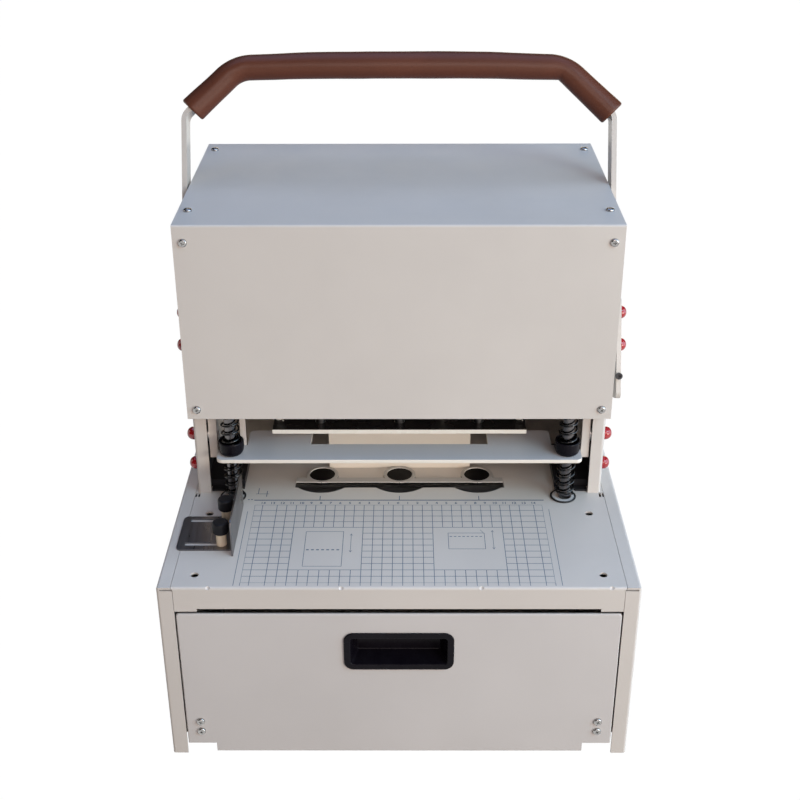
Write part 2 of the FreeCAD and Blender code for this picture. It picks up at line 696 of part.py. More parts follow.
def post_slots(name, sign):
    """Two slots in front of a post; the outer one is open to the seam beside the table."""
    low, high = "base_height - sheet_gauge - rail_gauge - 1", "base_height + 1"
    length = (back("post_setback - post_slot_length"), back("post_setback"))
    slots = []
    for index in range(2):
        near_end = f"base_width / 2 - top_flange - seam - post_slot_width * 0.7 - {index} * post_slot_pitch"
        far_end = f"{near_end} + post_slot_width"
        span = (near_end, far_end) if sign == "" else (f"-({far_end})", f"-({near_end})")
        slots.append(block(f"{name}_post_slot_{index}", span, length, (low, high)))
    return slots


def table_plate():
    """Table: a sheet folded down at the front and back, with the anvils' and clamps' openings."""
    wide = "base_width / 2 - top_flange - seam"
    slim = "base_width / 2 - front_return - seam"
    drop = "base_height - lip_height - lip_tab_drop"
    slab = block("table_slab", (f"-({wide})", wide), ("-base_depth / 2", "base_depth / 2"),
                 (drop, "base_height"))
    hollow = block("table_hollow", (f"-({wide}) - 1", f"{wide} + 1"),
                   ("sheet_gauge - base_depth / 2", "base_depth / 2 - sheet_gauge"),
                   (f"{drop} - 1", "base_height - sheet_gauge"))
    lower = block("lip_middle", (f"lip_tab_length - ({slim})", f"{slim} - lip_tab_length"),
                  ("-base_depth / 2 - 1", "base_depth / 2 + 1"),
                  (f"{drop} - 1", "base_height - lip_height"))
    ends = [
        block(f"lip_end_{side}", x, ("-base_depth / 2 - 1", "base_depth / 2 + 1"),
              (f"{drop} - 1", "base_height - sheet_gauge"))
        for side, x in (("right", (slim, f"{wide} + 1")), ("left", (f"-({wide}) - 1", f"-({slim})")))
    ]
    folded = cut("table_folded", slab, hollow, lower, *ends)
    depth, top, radius = size("base_depth") / 2, size("base_height"), size("bend_radius")
    smooth = rounded(
        "table_folds", folded, radius,
        lambda box: near(box.ZMin, top) and near(box.ZMax, top)
        and near(abs(box.YMin), depth) and near(box.YMin, box.YMax))
    return cut("table_plate", smooth, *table_openings())


def table_openings():
    """Four accessory holes, the scrap slot with its bulges, pad holes and rod holes."""
    tools = []
    for side, sign in (("left", "-"), ("right", "")):
        tools += post_slots(f"table_{side}", sign)
        for index in range(2):
            setback = f"table_hole_setback + {index} * table_hole_pitch"
            tools.append(rod(f"table_hole_{side}_{index}", "Z", f"{sign}table_hole_span / 2", back(setback),
                             "base_height - 2 * sheet_gauge", "table_hole_radius", "4 * sheet_gauge"))
        tools.append(rod(f"table_rod_hole_{side}", "Z", f"{sign}rod_offset", back("rod_setback"),
                         "base_height - 2 * sheet_gauge", "rod_radius + rod_gap", "4 * sheet_gauge"))
    depths = ("base_height - 2 * sheet_gauge", "4 * sheet_gauge")
    tools += [rod(f"table_clamp_hole_{index}", "Z", "-clamp_offset",
                  back(f"clamp_front + {index} * clamp_pitch"), depths[0], "clamp_screw", depths[1])
              for index in range(2)]
    waist = block("slot_waist", ("-scrap_slot_length / 2", "scrap_slot_length / 2"),
                  (back("punch_setback - scrap_slot_waist"), back("punch_setback - scrap_slot_back")),
                  (depths[0], "base_height + 2 * sheet_gauge"))
    bulges = joined("slot_bulges", *[
        rod(f"slot_bulge_{index}", "Z", f"{index - 1} * punch_pitch", back("punch_setback"),
            depths[0], "scrap_slot_bulge", depths[1]) for index in range(3)])
    reach = block("slot_reach", ("-scrap_slot_length / 2", "scrap_slot_length / 2"),
                  (back("punch_setback - 2 * scrap_slot_bulge"), back("punch_setback - scrap_slot_back")),
                  (depths[0], "base_height + 2 * sheet_gauge"))
    tools += [waist, shared("slot_fronts", bulges, reach)]
    tools += [rod(f"pad_hole_{index}", "Z", f"{index - 1} * punch_pitch", back("punch_setback"),
                  depths[0], "pad_radius + pad_gap", depths[1]) for index in range(3)]
    return tools


def base_rear_panel():
    """Back wall of the cabinet, inside the side panels' folds."""
    return block("base_rear_panel", ("sheet_gauge - base_width / 2", "base_width / 2 - sheet_gauge"),
                 ("base_depth / 2 - 2 * sheet_gauge", "base_depth / 2 - sheet_gauge"),
                 ("0 * sheet_gauge", "base_height - lip_height - lip_tab_drop - seam"))


def base_floor():
    """Floor sheet between the side panels; the machine rests on it and the tray runs above it."""
    return block("base_floor", ("sheet_gauge - base_width / 2", "base_width / 2 - sheet_gauge"),
                 ("2 * front_return - base_depth / 2", "base_depth / 2 - 2 * sheet_gauge"),
                 ("0 * sheet_gauge", "sheet_gauge"))


# ---------------------------------------------------------------- anvils and back gauge


def anvil_beam():
    """Steel bar under the table; the pads stand in its pockets."""
    bar = block("anvil_bar", ("-bearing_span / 2 - bearing_gauge", "bearing_span / 2 + bearing_gauge"),
                (back("punch_setback - anvil_front"), back("punch_setback + anvil_back")),
                ("base_height - sheet_gauge - anvil_height", "base_height - sheet_gauge"))
    pockets = [rod(f"pad_pocket_{index}", "Z", f"{index - 1} * punch_pitch", back("punch_setback"),
                   up("-pad_depth"), "pad_radius + pad_gap", "pad_depth") for index in range(3)]
    return cut("anvil_beam", bar, *pockets)


def pad_holder():
    """Flat bar with a ring round each pad, on top of the table; each ring has a tapped hole."""
    bar = block("holder_bar", ("-holder_length / 2", "holder_length / 2"),
                (back("punch_setback - holder_front"), back("punch_setback - holder_front + holder_width")),
                (up("0 * holder_rise"), up("holder_rise")))
    rings = [rod(f"holder_ring_{index}", "Z", f"{index - 1} * punch_pitch", back("punch_setback"),
                 "base_height", "pad_radius + pad_gap + ring_wall", "holder_rise") for index in range(3)]
    holes = [rod(f"holder_hole_{index}", "Z", f"{index - 1} * punch_pitch", back("punch_setback"),
                 "base_height - 1", "pad_radius + pad_gap", "holder_rise + 2") for index in range(3)]
    tapped = [rod(f"screw_bore_{index}", "Y", f"{index - 1} * punch_pitch",
                  back("punch_setback - pad_radius - pad_gap - ring_wall - 1"), up("holder_rise / 2"),
                  "set_screw_radius", "ring_wall + 2") for index in range(3)]
    return cut("pad_holder", joined("holder_blank", bar, *rings), *holes, *tapped)


def cutting_pads():
    return grouped("cutting_pads", *[
        rod(f"cutting_pad_{index}", "Z", f"{index - 1} * punch_pitch", back("punch_setback"),
            up("-pad_depth"), "pad_radius", "pad_depth + pad_rise") for index in range(3)])


def pad_set_screws():
    """Small screws through the fronts of the rings onto the pads."""
    return grouped("pad_set_screws", *[
        rod(f"pad_set_screw_{index}", "Y", f"{index - 1} * punch_pitch",
            back("punch_setback - pad_radius - pad_gap - ring_wall - set_screw_proud"),
            up("holder_rise / 2"), "set_screw_radius", "set_screw_proud + ring_wall")
        for index in range(3)])


def back_gauge():
    """Upright plate that the sheets' edges are knocked against, with a foot behind it."""
    face = back("punch_setback + gauge_back")
    plate = block("gauge_plate", ("-gauge_width / 2", "gauge_width / 2"),
                  (face, f"{face} + gauge_sheet"), (up("0 * seam"), up("gauge_height")))
    foot = block("gauge_foot_plate", ("-gauge_width / 2", "gauge_width / 2"),
                 (face, f"{face} + gauge_foot"), (up("0 * seam"), up("gauge_sheet")))
    return joined("back_gauge", plate, foot)


# ---------------------------------------------------------------- upright frame


def frame_side():
    """Right side of the frame: a deep pan whose front fold is the post; it steps out at the head."""
    outer, inner = "frame_width / 2", "frame_width / 2 - post_flange"
    web = "frame_width / 2 - frame_gauge"
    rear = back("cover_setback + cover_depth - cover_gauge")
    roof = up("cover_top - cover_gauge")
    head_front = back("cover_setback + cover_gauge")
    post = block("frame_post", (inner, outer), (back("post_setback"), rear), ("base_height", roof))
    head = block("frame_head", (inner, outer), (head_front, rear), (up("cover_bottom + cover_gauge"), roof))
    post_hollow = block("frame_post_hollow", (f"{inner} - 1", web),
                        (back("post_setback + frame_gauge"), f"{rear} - frame_gauge"),
                        ("base_height - 1", f"{roof} - frame_gauge"))
    head_hollow = block("frame_head_hollow", (f"{inner} - 1", web),
                        (f"{head_front} + frame_gauge", f"{rear} - frame_gauge"),
                        (up("cover_bottom + cover_gauge + frame_gauge"), f"{roof} - frame_gauge"))
    shaft_hole = rod("frame_shaft_hole", "X", f"{inner} - 1", back("pivot_setback"), up("pivot_rise"),
                     "flange_radius + flange_gap", "post_flange + 2")
    bolt_holes = [rod(f"frame_bolt_hole_{index}", "X", f"{web} - 1", back("spacer_setback"), up(rise),
                      "bolt_radius", "frame_gauge + 2")
                  for index, rise in enumerate(("foot_bolt_rise", "spacer_low_rise"))]
    screw_x = "cover_screw_span / 2"
    screw_holes = [rod(f"frame_screw_hole_{level}", "Y", screw_x, f"{head_front} - 1",
                       up(f"cover_screw_{level}"), "screw_shank", "frame_gauge + 2")
                   for level in ("low", "high")]
    screw_holes += [rod(f"frame_screw_hole_{end}", "Z", screw_x, back(f"cover_screw_{end}"),
                        f"{roof} - frame_gauge - 1", "screw_shank", "frame_gauge + 2")
                    for end in ("front", "back")]
    fold_x, fold_y = size("frame_width") / 2, size("post_setback") - size("base_depth") / 2
    folded = rounded("frame_blank", joined("frame_outline", post, head), size("post_bend"),
                     lambda box: near(box.XMin, fold_x) and near(box.XMax, fold_x)
                     and near(box.YMin, fold_y) and near(box.YMax, fold_y))
    return cut("frame_side", folded, post_hollow, head_hollow, shaft_hole, *bolt_holes, *screw_holes)


def bearing_plate():
    """Thick plate inside the right frame side; it carries the cross shaft's bush."""
    inner, outer = "bearing_span / 2", "bearing_span / 2 + bearing_gauge"
    plate = block("bearing_blank", (inner, outer),
                  (back("bearing_setback"), back("bearing_setback + bearing_depth")),
                  (up("bearing_bottom"), up("bearing_top")))
    bore = rod("bearing_bore", "X", f"{inner} - 1", back("pivot_setback"), up("pivot_rise"),
               "shaft_radius + shaft_clearance + bush_wall", "bearing_gauge + 2")
    bolt = rod("bearing_bolt_hole", "X", f"{inner} - 1", back("spacer_setback"), up("spacer_low_rise"),
               "bolt_radius", "bearing_gauge + 2")
    return cut("bearing_plate", plate, bore, bolt)


def frame_spacers():
    """Round spacers that hold a bearing plate to its frame side."""
    start = "bearing_span / 2 + bearing_gauge"
    length = "frame_width / 2 - frame_gauge - bearing_span / 2 - bearing_gauge"
    pieces = []
    for level, rise in enumerate(("spacer_low_rise", "spacer_high_rise")):
        for index in range(2):
            setback = f"spacer_setback + {index} * spacer_pitch"
            body = rod(f"spacer_{level}_{index}", "X", start, back(setback), up(rise),
                       "spacer_radius", length)
            hole = rod(f"spacer_hole_{level}_{index}", "X", f"{start} - 1", back(setback), up(rise),
                       "bolt_radius", f"{length} + 2")
            pieces.append(cut(f"spacer_tube_{level}_{index}", body, hole))
    right = grouped("spacers_right", *pieces)
    return grouped("frame_spacers", right, mirrored("spacers_left", right))


def foot_bracket():
    """Black bracket that bolts the right frame side down to the table."""
    web = "frame_width / 2 - frame_gauge"
    post = "frame_width / 2 - post_flange"
    depth = (back("post_setback + frame_gauge + seam"), back("foot_back"))
    front = block("foot_front_plate", ("foot_inner", f"{post} - seam"), depth,
                  ("base_height", up("foot_plate")))
    bar = block("foot_thick_bar", ("foot_inner", web), (back("foot_step"), back("foot_back")),
                ("base_height", up("foot_bar")))
    leg = block("foot_leg", (f"{web} - foot_gauge", web), depth, ("base_height", up("foot_rise")))
    relief = rod("foot_rod_relief", "Z", "rod_offset", back("rod_setback"), "base_height - 1",
                 "ring_radius + 1.5 * seat_slip + rod_gap", "foot_bar + 2")
    bolt = rod("foot_bolt_hole", "X", f"{web} - foot_gauge - 1", back("spacer_setback"),
               up("foot_bolt_rise"), "bolt_radius", "foot_gauge + 2")
    return cut("foot_bracket", joined("foot_blank", front, bar, leg), relief, bolt)


def frame_domed_bolts():
    """Two bolts in each post, each under a red dome."""
    web = size("frame_width") / 2
    into_foot = size("frame_gauge") + size("foot_gauge")
    into_bearing = web - size("bearing_span") / 2
    shapes = []
    for sign in (-1, 1):
        for rise, grip in ((size("foot_bolt_rise"), into_foot), (size("spacer_low_rise"), into_bearing)):
            at = point(sign * web, size("spacer_setback"), rise)
            shapes.append(domed_bolt(at, Vector(sign, 0, 0), grip))
    return solid("frame_domed_bolts", Part.makeCompound(shapes))


def tie_bar():
    """Bar between the bearing plates that carries the guide rods' upper ends."""
    front = back("rod_setback - rod_radius - rod_bush_wall")
    bar = block("tie_blank", ("-bearing_span / 2", "bearing_span / 2"), (front, f"{front} + tie_depth"),
                (up("bearing_top - tie_height"), up("bearing_top")))
    holes = [rod(f"tie_hole_{side}", "Z", f"{sign}rod_offset", back("rod_setback"),
                 up("bearing_top - tie_height - 1"), "rod_radius", "tie_height + 2")
             for side, sign in (("left", "-"), ("right", ""))]
    return cut("tie_bar", bar, *holes)


def guide_rods():
    return grouped("guide_rods", *[
        rod(f"guide_rod_{side}", "Z", f"{sign}rod_offset", back("rod_setback"), up("-rod_tail"),
            "rod_radius", "rod_tail + bearing_top + rod_bush_wall")
        for side, sign in (("left", "-"), ("right", ""))])


def rod_nuts():
    """Hexagon nuts under the table on the rods' ends."""
    shapes = []
    radius, height = size("rod_nut_radius"), size("rod_nut_height")
    corners = [Vector(radius * math.cos(a), radius * math.sin(a), 0)
               for a in (math.pi * step / 3 for step in range(6))]
    for sign in (-1, 1):
        prism = Part.Face(Part.makePolygon(corners + corners[:1])).extrude(Vector(0, 0, height))
        prism = prism.cut(Part.makeCylinder(size("rod_radius"), height + 2, Vector(0, 0, -1)))
        low = -size("sheet_gauge") - height
        prism.translate(point(sign * size("rod_offset"), size("rod_setback"), low))
        shapes.append(prism)
    return solid("rod_nuts", Part.makeCompound(shapes))


def spring_seats():
    """Loose flat washers on the table that the lower springs stand on, a little off centre."""
    pieces = []
    setback = back("rod_setback - seat_slip")
    for side, sign in (("left", "-"), ("right", "")):
        x = f"{sign}rod_offset - seat_slip"
        disc = rod(f"seat_{side}", "Z", x, setback, "base_height", "seat_radius", "seat_height")
        hole = rod(f"seat_hole_{side}", "Z", x, setback, "base_height - 1", "seat_bore", "seat_height + 2")
        pieces.append(cut(f"seat_washer_{side}", disc, hole))
    return grouped("spring_seats", *pieces)


def loose_rings():
    """Black rubber rings that lie on the table round the washers."""
    section, slip = size("ring_section"), size("seat_slip")
    shapes = []
    for sign in (-1, 1):
        ring = Part.makeTorus(size("ring_radius") - section, section)
        ring.translate(point(sign * size("rod_offset") - slip, size("rod_setback") - slip, section))
        shapes.append(ring)
    return solid("loose_rings", Part.makeCompound(shapes))


def lower_springs():
    shapes = []
    low, high = size("seat_height"), size("press_rise")
    for sign in (-1, 1):
        spring = coil(size("coil_radius"), size("coil_wire"), high - low, size("coil_pitch"))
        spring.translate(point(sign * size("rod_offset"), size("rod_setback"), low))
        shapes.append(spring)
    return solid("lower_springs", Part.makeCompound(shapes))


def head_cover():
    """Front and top of the head in one folded sheet."""
    wide = ("-cover_width / 2", "cover_width / 2")
    front = back("cover_setback")
    slab = block("cover_slab", wide, (front, f"{front} + cover_depth"),
                 (up("cover_bottom"), up("cover_top")))
    hollow = block("cover_hollow", ("-cover_width / 2 - 1", "cover_width / 2 + 1"),
                   (f"{front} + cover_gauge", f"{front} + cover_depth + 1"),
                   (up("cover_bottom - 1"), up("cover_top - cover_gauge")))
    sheet_metal = cut("cover_sheet", slab, hollow)
    fold_y = size("cover_setback") - size("base_depth") / 2
    fold_z = size("cover_top") + size("base_height")
    outer = rounded("cover_outer_fold", sheet_metal, size("cover_bend"),
                    lambda box: near(box.YMin, fold_y) and near(box.YMax, fold_y)
                    and near(box.ZMin, fold_z))
    holes = []
    for side, sign in (("left", "-"), ("right", "")):
        for level in ("low", "high"):
            holes.append(rod(f"cover_hole_{side}_{level}", "Y", f"{sign}cover_screw_span / 2",
                             f"{front} - 1", up(f"cover_screw_{level}"), "screw_shank",
                             "cover_gauge + 2"))
        for end in ("front", "back"):
            holes.append(rod(f"cover_hole_{side}_{end}", "Z", f"{sign}cover_screw_span / 2",
                             back(f"cover_screw_{end}"), up("cover_top - cover_gauge - 1"),
                             "screw_shank", "cover_gauge + 2"))
    return cut("head_cover", outer, *holes)


def rear_cover():
    """Flat sheet that closes the back of the head down to the table."""
    rear = back("cover_setback + cover_depth")
    return block("rear_cover", ("-cover_width / 2", "cover_width / 2"), (f"{rear} - cover_gauge", rear),
                 (up("0 * seam"), up("cover_top - cover_gauge")))


def cover_screws():
    """Four screws on the cover's front and four on its top, into the frame's folds."""
    half = size("cover_screw_span") / 2
    shapes = []
    for x in (-half, half):
        for rise in (size("cover_screw_low"), size("cover_screw_high")):
            shapes.append(pan_screw(point(x, size("cover_setback"), rise), Vector(0, -1, 0)))
        for setback in (size("cover_screw_front"), size("cover_screw_back")):
            shapes.append(pan_screw(point(x, setback, size("cover_top")), Vector(0, 0, 1)))
    return solid("cover_screws", Part.makeCompound(shapes))


# ---------------------------------------------------------------- moving parts


def cross_shaft():
    """Shaft with a flange at each end; the lever arms are bolted to the flanges."""
    end = "arm_span / 2"
    bar = rod("shaft_bar", "X", f"-{end}", back("pivot_setback"), up("pivot_rise"), "shaft_radius",
              f"2 * {end}")
    flanges = [rod(f"shaft_flange_{side}", "X", x, back("pivot_setback"), up("pivot_rise"),
                   "flange_radius", "flange_gauge")
               for side, x in (("left", f"-{end}"), ("right", f"{end} - flange_gauge"))]
    holes = []
    for side, x in (("left", f"-{end} - 1"), ("right", f"{end} - flange_gauge - 1")):
        for step in (-1, 1):
            reach = f"{step} * bolt_pitch / 2"
            holes.append(rod(f"flange_hole_{side}_{step + 1}", "X", x,
                             back(f"pivot_setback + {reach} * sin(lever_lean * 1 deg)"),
                             up(f"pivot_rise + {reach} * cos(lever_lean * 1 deg)"),
                             "bolt_radius", "flange_gauge + 2"))
    return cut("cross_shaft", joined("shaft_blank", bar, *flanges), *holes)


def shaft_bushes():
    """Bronze bushes in the bearing plates."""
    pieces = []
    starts = {"left": "-bearing_span / 2 - bearing_gauge",
              "right": "bearing_span / 2 + bearing_gauge - bush_length"}
    for side, x in starts.items():
        body = rod(f"bush_{side}", "X", x, back("pivot_setback"), up("pivot_rise"),
                   "shaft_radius + shaft_clearance + bush_wall", "bush_length")
        bore = rod(f"bush_bore_{side}", "X", f"{x} - 1", back("pivot_setback"), up("pivot_rise"),
                   "shaft_radius + shaft_clearance", "bush_length + 2")
        pieces.append(cut(f"shaft_bush_{side}", body, bore))
    return grouped("shaft_bushes", *pieces)


def pinions():
    shape = pinion()
    copies = []
    for sign in (-1, 1):
        copy = shape.copy()
        copy.translate(point(sign * size("gear_offset"), size("pivot_setback"), size("pivot_rise")))
        copies.append(copy)
    return solid("pinions", Part.makeCompound(copies))


def racks():
    """Two racks that stand on the crosshead in front of the pinions."""
    pitch_radius = size("gear_module") * size("gear_teeth") / 2
    bottom = size("crosshead_rise") + size("crosshead_gauge") - size("pivot_rise")
    top = size("punch_stroke") + size("rack_margin")
    shape = rack(bottom, top)
    pitch_line = size("pivot_setback") - pitch_radius
    copies = []
    for sign in (-1, 1):
        copy = shape.copy()
        copy.translate(point(sign * size("gear_offset"), pitch_line, size("pivot_rise")))
        copies.append(copy)
    return solid("racks", Part.makeCompound(copies))


# places of the small studs, in punch pitches from the middle
STUDS = (-1, 0, 0.55, 1)


def crosshead():
    """Bar that slides on the guide rods and carries the racks and the punches."""
    low, high = up("crosshead_rise"), up("crosshead_rise + crosshead_gauge")
    bar = block("crosshead_bar", ("-crosshead_length / 2", "crosshead_length / 2"),
                (back("crosshead_setback"), back("crosshead_setback + crosshead_depth")), (low, high))
    below, depth = f"{low} - 1", "crosshead_gauge + 2"
    holes = [rod(f"crosshead_bore_{side}", "Z", f"{sign}rod_offset", back("rod_setback"), below,
                 "rod_radius + rod_fit + rod_bush_wall", depth)
             for side, sign in (("left", "-"), ("right", ""))]
    holes += [rod(f"crosshead_punch_hole_{index}", "Z", f"{index - 1} * punch_pitch",
                  back("punch_setback"), below, "punch_radius", depth) for index in range(3)]
    holes += [rod(f"crosshead_stud_hole_{index}", "Z", f"{step} * punch_pitch",
                  back("punch_setback + stud_back"), below, "stud_radius + rod_gap", depth)
              for index, step in enumerate(STUDS)]
    rear = back("press_setback + press_ear_depth")
    slot = block("crosshead_slot", ("-indicator_inner - indicator_width - 1", "1 - indicator_inner"),
                 (f"{rear} - 1", f"{rear} + indicator_gauge + 1"), (below, f"{high} + 1"))
    return cut("crosshead", bar, slot, *holes)


def rod_bushes():
    """Bushes pressed into the crosshead, running on the guide rods."""
    pieces = []
    middle = "crosshead_rise + crosshead_gauge / 2 - rod_bush_length / 2"
    for side, sign in (("left", "-"), ("right", "")):
        body = rod(f"rod_bush_{side}", "Z", f"{sign}rod_offset", back("rod_setback"), up(middle),
                   "rod_radius + rod_fit + rod_bush_wall", "rod_bush_length")
        bore = rod(f"rod_bush_bore_{side}", "Z", f"{sign}rod_offset", back("rod_setback"),
                   up(f"{middle} - 1"), "rod_radius + rod_fit", "rod_bush_length + 2")
        pieces.append(cut(f"rod_bush_tube_{side}", body, bore))
    return grouped("rod_bushes", *pieces)


def punches():
    """Hollow punches in round holders under the crosshead."""
    radius, bore, edge = size("punch_radius"), size("punch_bore"), size("punch_edge")
    holder, drop = size("holder_radius"), size("holder_drop")
    top = size("crosshead_rise")
    reach = top - size("punch_rise")
    profile = [
        (bore, -reach),
        (bore + 0.3, -reach),
        (radius, edge - reach),
        (radius, -drop),
        (holder - 1, -drop),
        (holder, 1 - drop),
        (holder, 0),
        (radius, 0),
        (radius, size("crosshead_gauge")),
        (bore, size("crosshead_gauge")),
    ]
    shapes = []
    for index in (-1, 0, 1):
        punch = turned(profile)
        punch.translate(point(index * size("punch_pitch"), size("punch_setback"), top))
        shapes.append(punch)
    return solid("punches", Part.makeCompound(shapes))


def guide_plate():
    """Bright plate that steadies the punches and strips the paper off them."""
    plate = block("guide_blank", ("-guide_width / 2", "guide_width / 2"),
                  (back("punch_setback - guide_front"), back("punch_setback + guide_back")),
                  (up("guide_rise"), up("guide_rise + guide_gauge")))
    holes = [rod(f"guide_hole_{index}", "Z", f"{index - 1} * punch_pitch", back("punch_setback"),
                 up("guide_rise - 1"), "punch_radius + rod_gap", "guide_gauge + 2") for index in range(3)]
    return cut("guide_plate", plate, *holes)


def guide_studs():
    """Thin studs on the guide plate that slide in the crosshead."""
    return grouped("guide_studs", *[
        rod(f"guide_stud_{index}", "Z", f"{step} * punch_pitch", back("punch_setback + stud_back"),
            up("guide_rise + guide_gauge"), "stud_radius",
            "crosshead_rise + crosshead_gauge / 4 - guide_rise - guide_gauge")
        for index, step in enumerate(STUDS)])


def guide_springs():
    shapes = []
    low, high = size("guide_rise") + size("guide_gauge"), size("crosshead_rise")
    radius, wire, pitch = (size(f"guide_coil_{part}") for part in ("radius", "wire", "pitch"))
    for sign in (-1, 1):
        spring = coil(radius, wire, high - low, pitch)
        spring.translate(point(sign * size("guide_coil_offset"), size("punch_setback"), low))
        shapes.append(spring)
    return solid("guide_springs", Part.makeCompound(shapes))


def press_plate():
    """Plate that holds the paper down: two ears on the rods and a fork open to the back."""
    low, high = up("press_rise"), up("press_rise + press_gauge")
    front = "press_setback"
    ears = block("press_ears", ("-press_width / 2", "press_width / 2"),
                 (back(front), back(f"{front} + press_ear_depth")), (low, high))
    tail = block("press_tail", ("-press_tail_width / 2", "press_tail_width / 2"),
                 (back(front), back(f"{front} + press_depth")), (low, high))
    window = block("press_window", ("-window_width / 2", "window_width / 2"),
                   (back("window_setback"), back(f"{front} + press_depth + 1")),
                   (f"{low} - 1", f"{high} + 1"))
    holes = [rod(f"press_hole_{side}", "Z", f"{sign}rod_offset", back("rod_setback"), f"{low} - 1",
                 "rod_radius + rod_gap", "press_gauge + 2")
             for side, sign in (("left", "-"), ("right", ""))]
    blank = cut("press_blank", joined("press_outline", ears, tail), window, *holes)
    front_y = size("press_setback") - size("base_depth") / 2
    rear_y = front_y + size("press_depth")
    half, tail_half = size("press_width") / 2, size("press_tail_width") / 2

    def upright_at(box, x, y):
        return (near(abs(box.XMin), x) and near(box.XMin, box.XMax)
                and near(box.YMin, y) and near(box.YMax, y))

    fronts = rounded("press_front_corners", blank, size("press_corner"),
                     lambda box: upright_at(box, half, front_y))
    return rounded("press_plate", fronts, size("press_tail_corner"),
                   lambda box: upright_at(box, tail_half, rear_y))


def press_indicator():
    """Upright strip behind the plate's left ear; it slides in the crosshead's slot."""
    rear = back("press_setback + press_ear_depth")
    return block("press_indicator", ("-indicator_inner - indicator_width", "-indicator_inner"),
                 (rear, f"{rear} + indicator_gauge"), (up("press_rise"), up("indicator_top")))


def rod_knobs():
    """Knurled collars on the press plate; an upper spring stands in each cup."""
    shape = knurled(size("knob_radius"), size("knob_height"), size("rod_radius") + size("rod_gap"),
                    size("coil_radius") + size("coil_wire") + size("rod_gap"), size("knob_recess"))
    copies = []
    for sign in (-1, 1):
        copy = shape.copy()
        copy.translate(point(sign * size("rod_offset"), size("rod_setback"),
                             size("press_rise") + size("press_gauge")))
        copies.append(copy)
    return solid("rod_knobs", Part.makeCompound(copies))


def upper_springs():
    shapes = []
    low = size("press_rise") + size("press_gauge") + size("knob_height") - size("knob_recess")
    bush = (size("rod_bush_length") - size("crosshead_gauge")) / 2
    high = size("crosshead_rise") - max(0, bush)
    for sign in (-1, 1):
        spring = coil(size("coil_radius"), size("coil_wire"), high - low, size("coil_pitch"))
        spring.translate(point(sign * size("rod_offset"), size("rod_setback"), low))
        shapes.append(spring)
    return solid("upper_springs", Part.makeCompound(shapes))


# ---------------------------------------------------------------- hand lever


def lever_placement():
    """From the lever's own frame, shaft at the origin and arms along Z, to the machine."""
    at = point(0, size("pivot_setback"), size("pivot_rise"))
    return Placement(at, Rotation(Vector(1, 0, 0), -size("lever_lean")))


def lever_path(arm_x, start):
    """Middle line of the lever from one side to the other, in its own frame."""
    reach, half = size("grip_reach"), size("grip_straight") / 2
    shoulder = reach - (arm_x - half)
    return [
        Vector(-arm_x, 0, start),
        Vector(-arm_x, 0, shoulder),
        Vector(-half, 0, reach),
        Vector(half, 0, reach),
        Vector(arm_x, 0, shoulder),
        Vector(arm_x, 0, start),
    ]


def lever_bar():
    """One flat bar bent into both arms and the core of the grip, in the lever's own frame."""
    gauge, width = size("arm_gauge"), size("arm_width")
    arm_x = size("arm_span") / 2 + gauge / 2
    start = width / 2 - size("arm_tail")
    radii = [size("arm_bend"), size("grip_bend"), size("grip_bend"), size("arm_bend")]
    path = bent_path(lever_path(arm_x, start), radii)
    thin, wide = gauge / 2, width / 2
    corners = [(-thin, -wide), (thin, -wide), (thin, wide), (-thin, wide)]
    section = Part.makePolygon([Vector(x - arm_x, y, start) for x, y in corners + corners[:1]])
    bar = swept(path, section)
    for side in (-arm_x, arm_x):
        end = Part.makeCylinder(width / 2, gauge, Vector(side - gauge / 2, 0, start), Vector(1, 0, 0))
        bar = bar.fuse(end)
    return bar.removeSplitter()


def lever_arms():
    bar = lever_bar()
    half = size("arm_span") / 2 + size("arm_gauge")
    for step in (-0.5, 0.5):
        at = Vector(-half - 1, 0, step * size("bolt_pitch"))
        bar = bar.cut(Part.makeCylinder(size("bolt_radius"), 2 * half + 2, at, Vector(1, 0, 0)))
    return solid("lever_arms", bar, lever_placement())


def foam_grip():
    """Foam tube over the straight and the two slanting runs of the bar; its ends are cut square."""
    arm_x = size("arm_span") / 2 + size("arm_gauge") / 2
    points = lever_path(arm_x, 0)[1:5]
    bend = size("arm_bend") * math.tan(math.radians(22.5))
    left, right = size("grip_inset_left") + bend, size("grip_inset_right") + bend
    points[0] = points[0] + (points[1] - points[0]).normalize() * left
    points[3] = points[3] + (points[2] - points[3]).normalize() * right
    path = bent_path(points, [size("grip_bend"), size("grip_bend")])
    circle = Part.makeCircle(size("grip_radius"), points[0], (points[1] - points[0]).normalize())
    tube = swept(path, Part.Wire([circle]))
    return solid("foam_grip", tube.cut(lever_bar()), lever_placement())


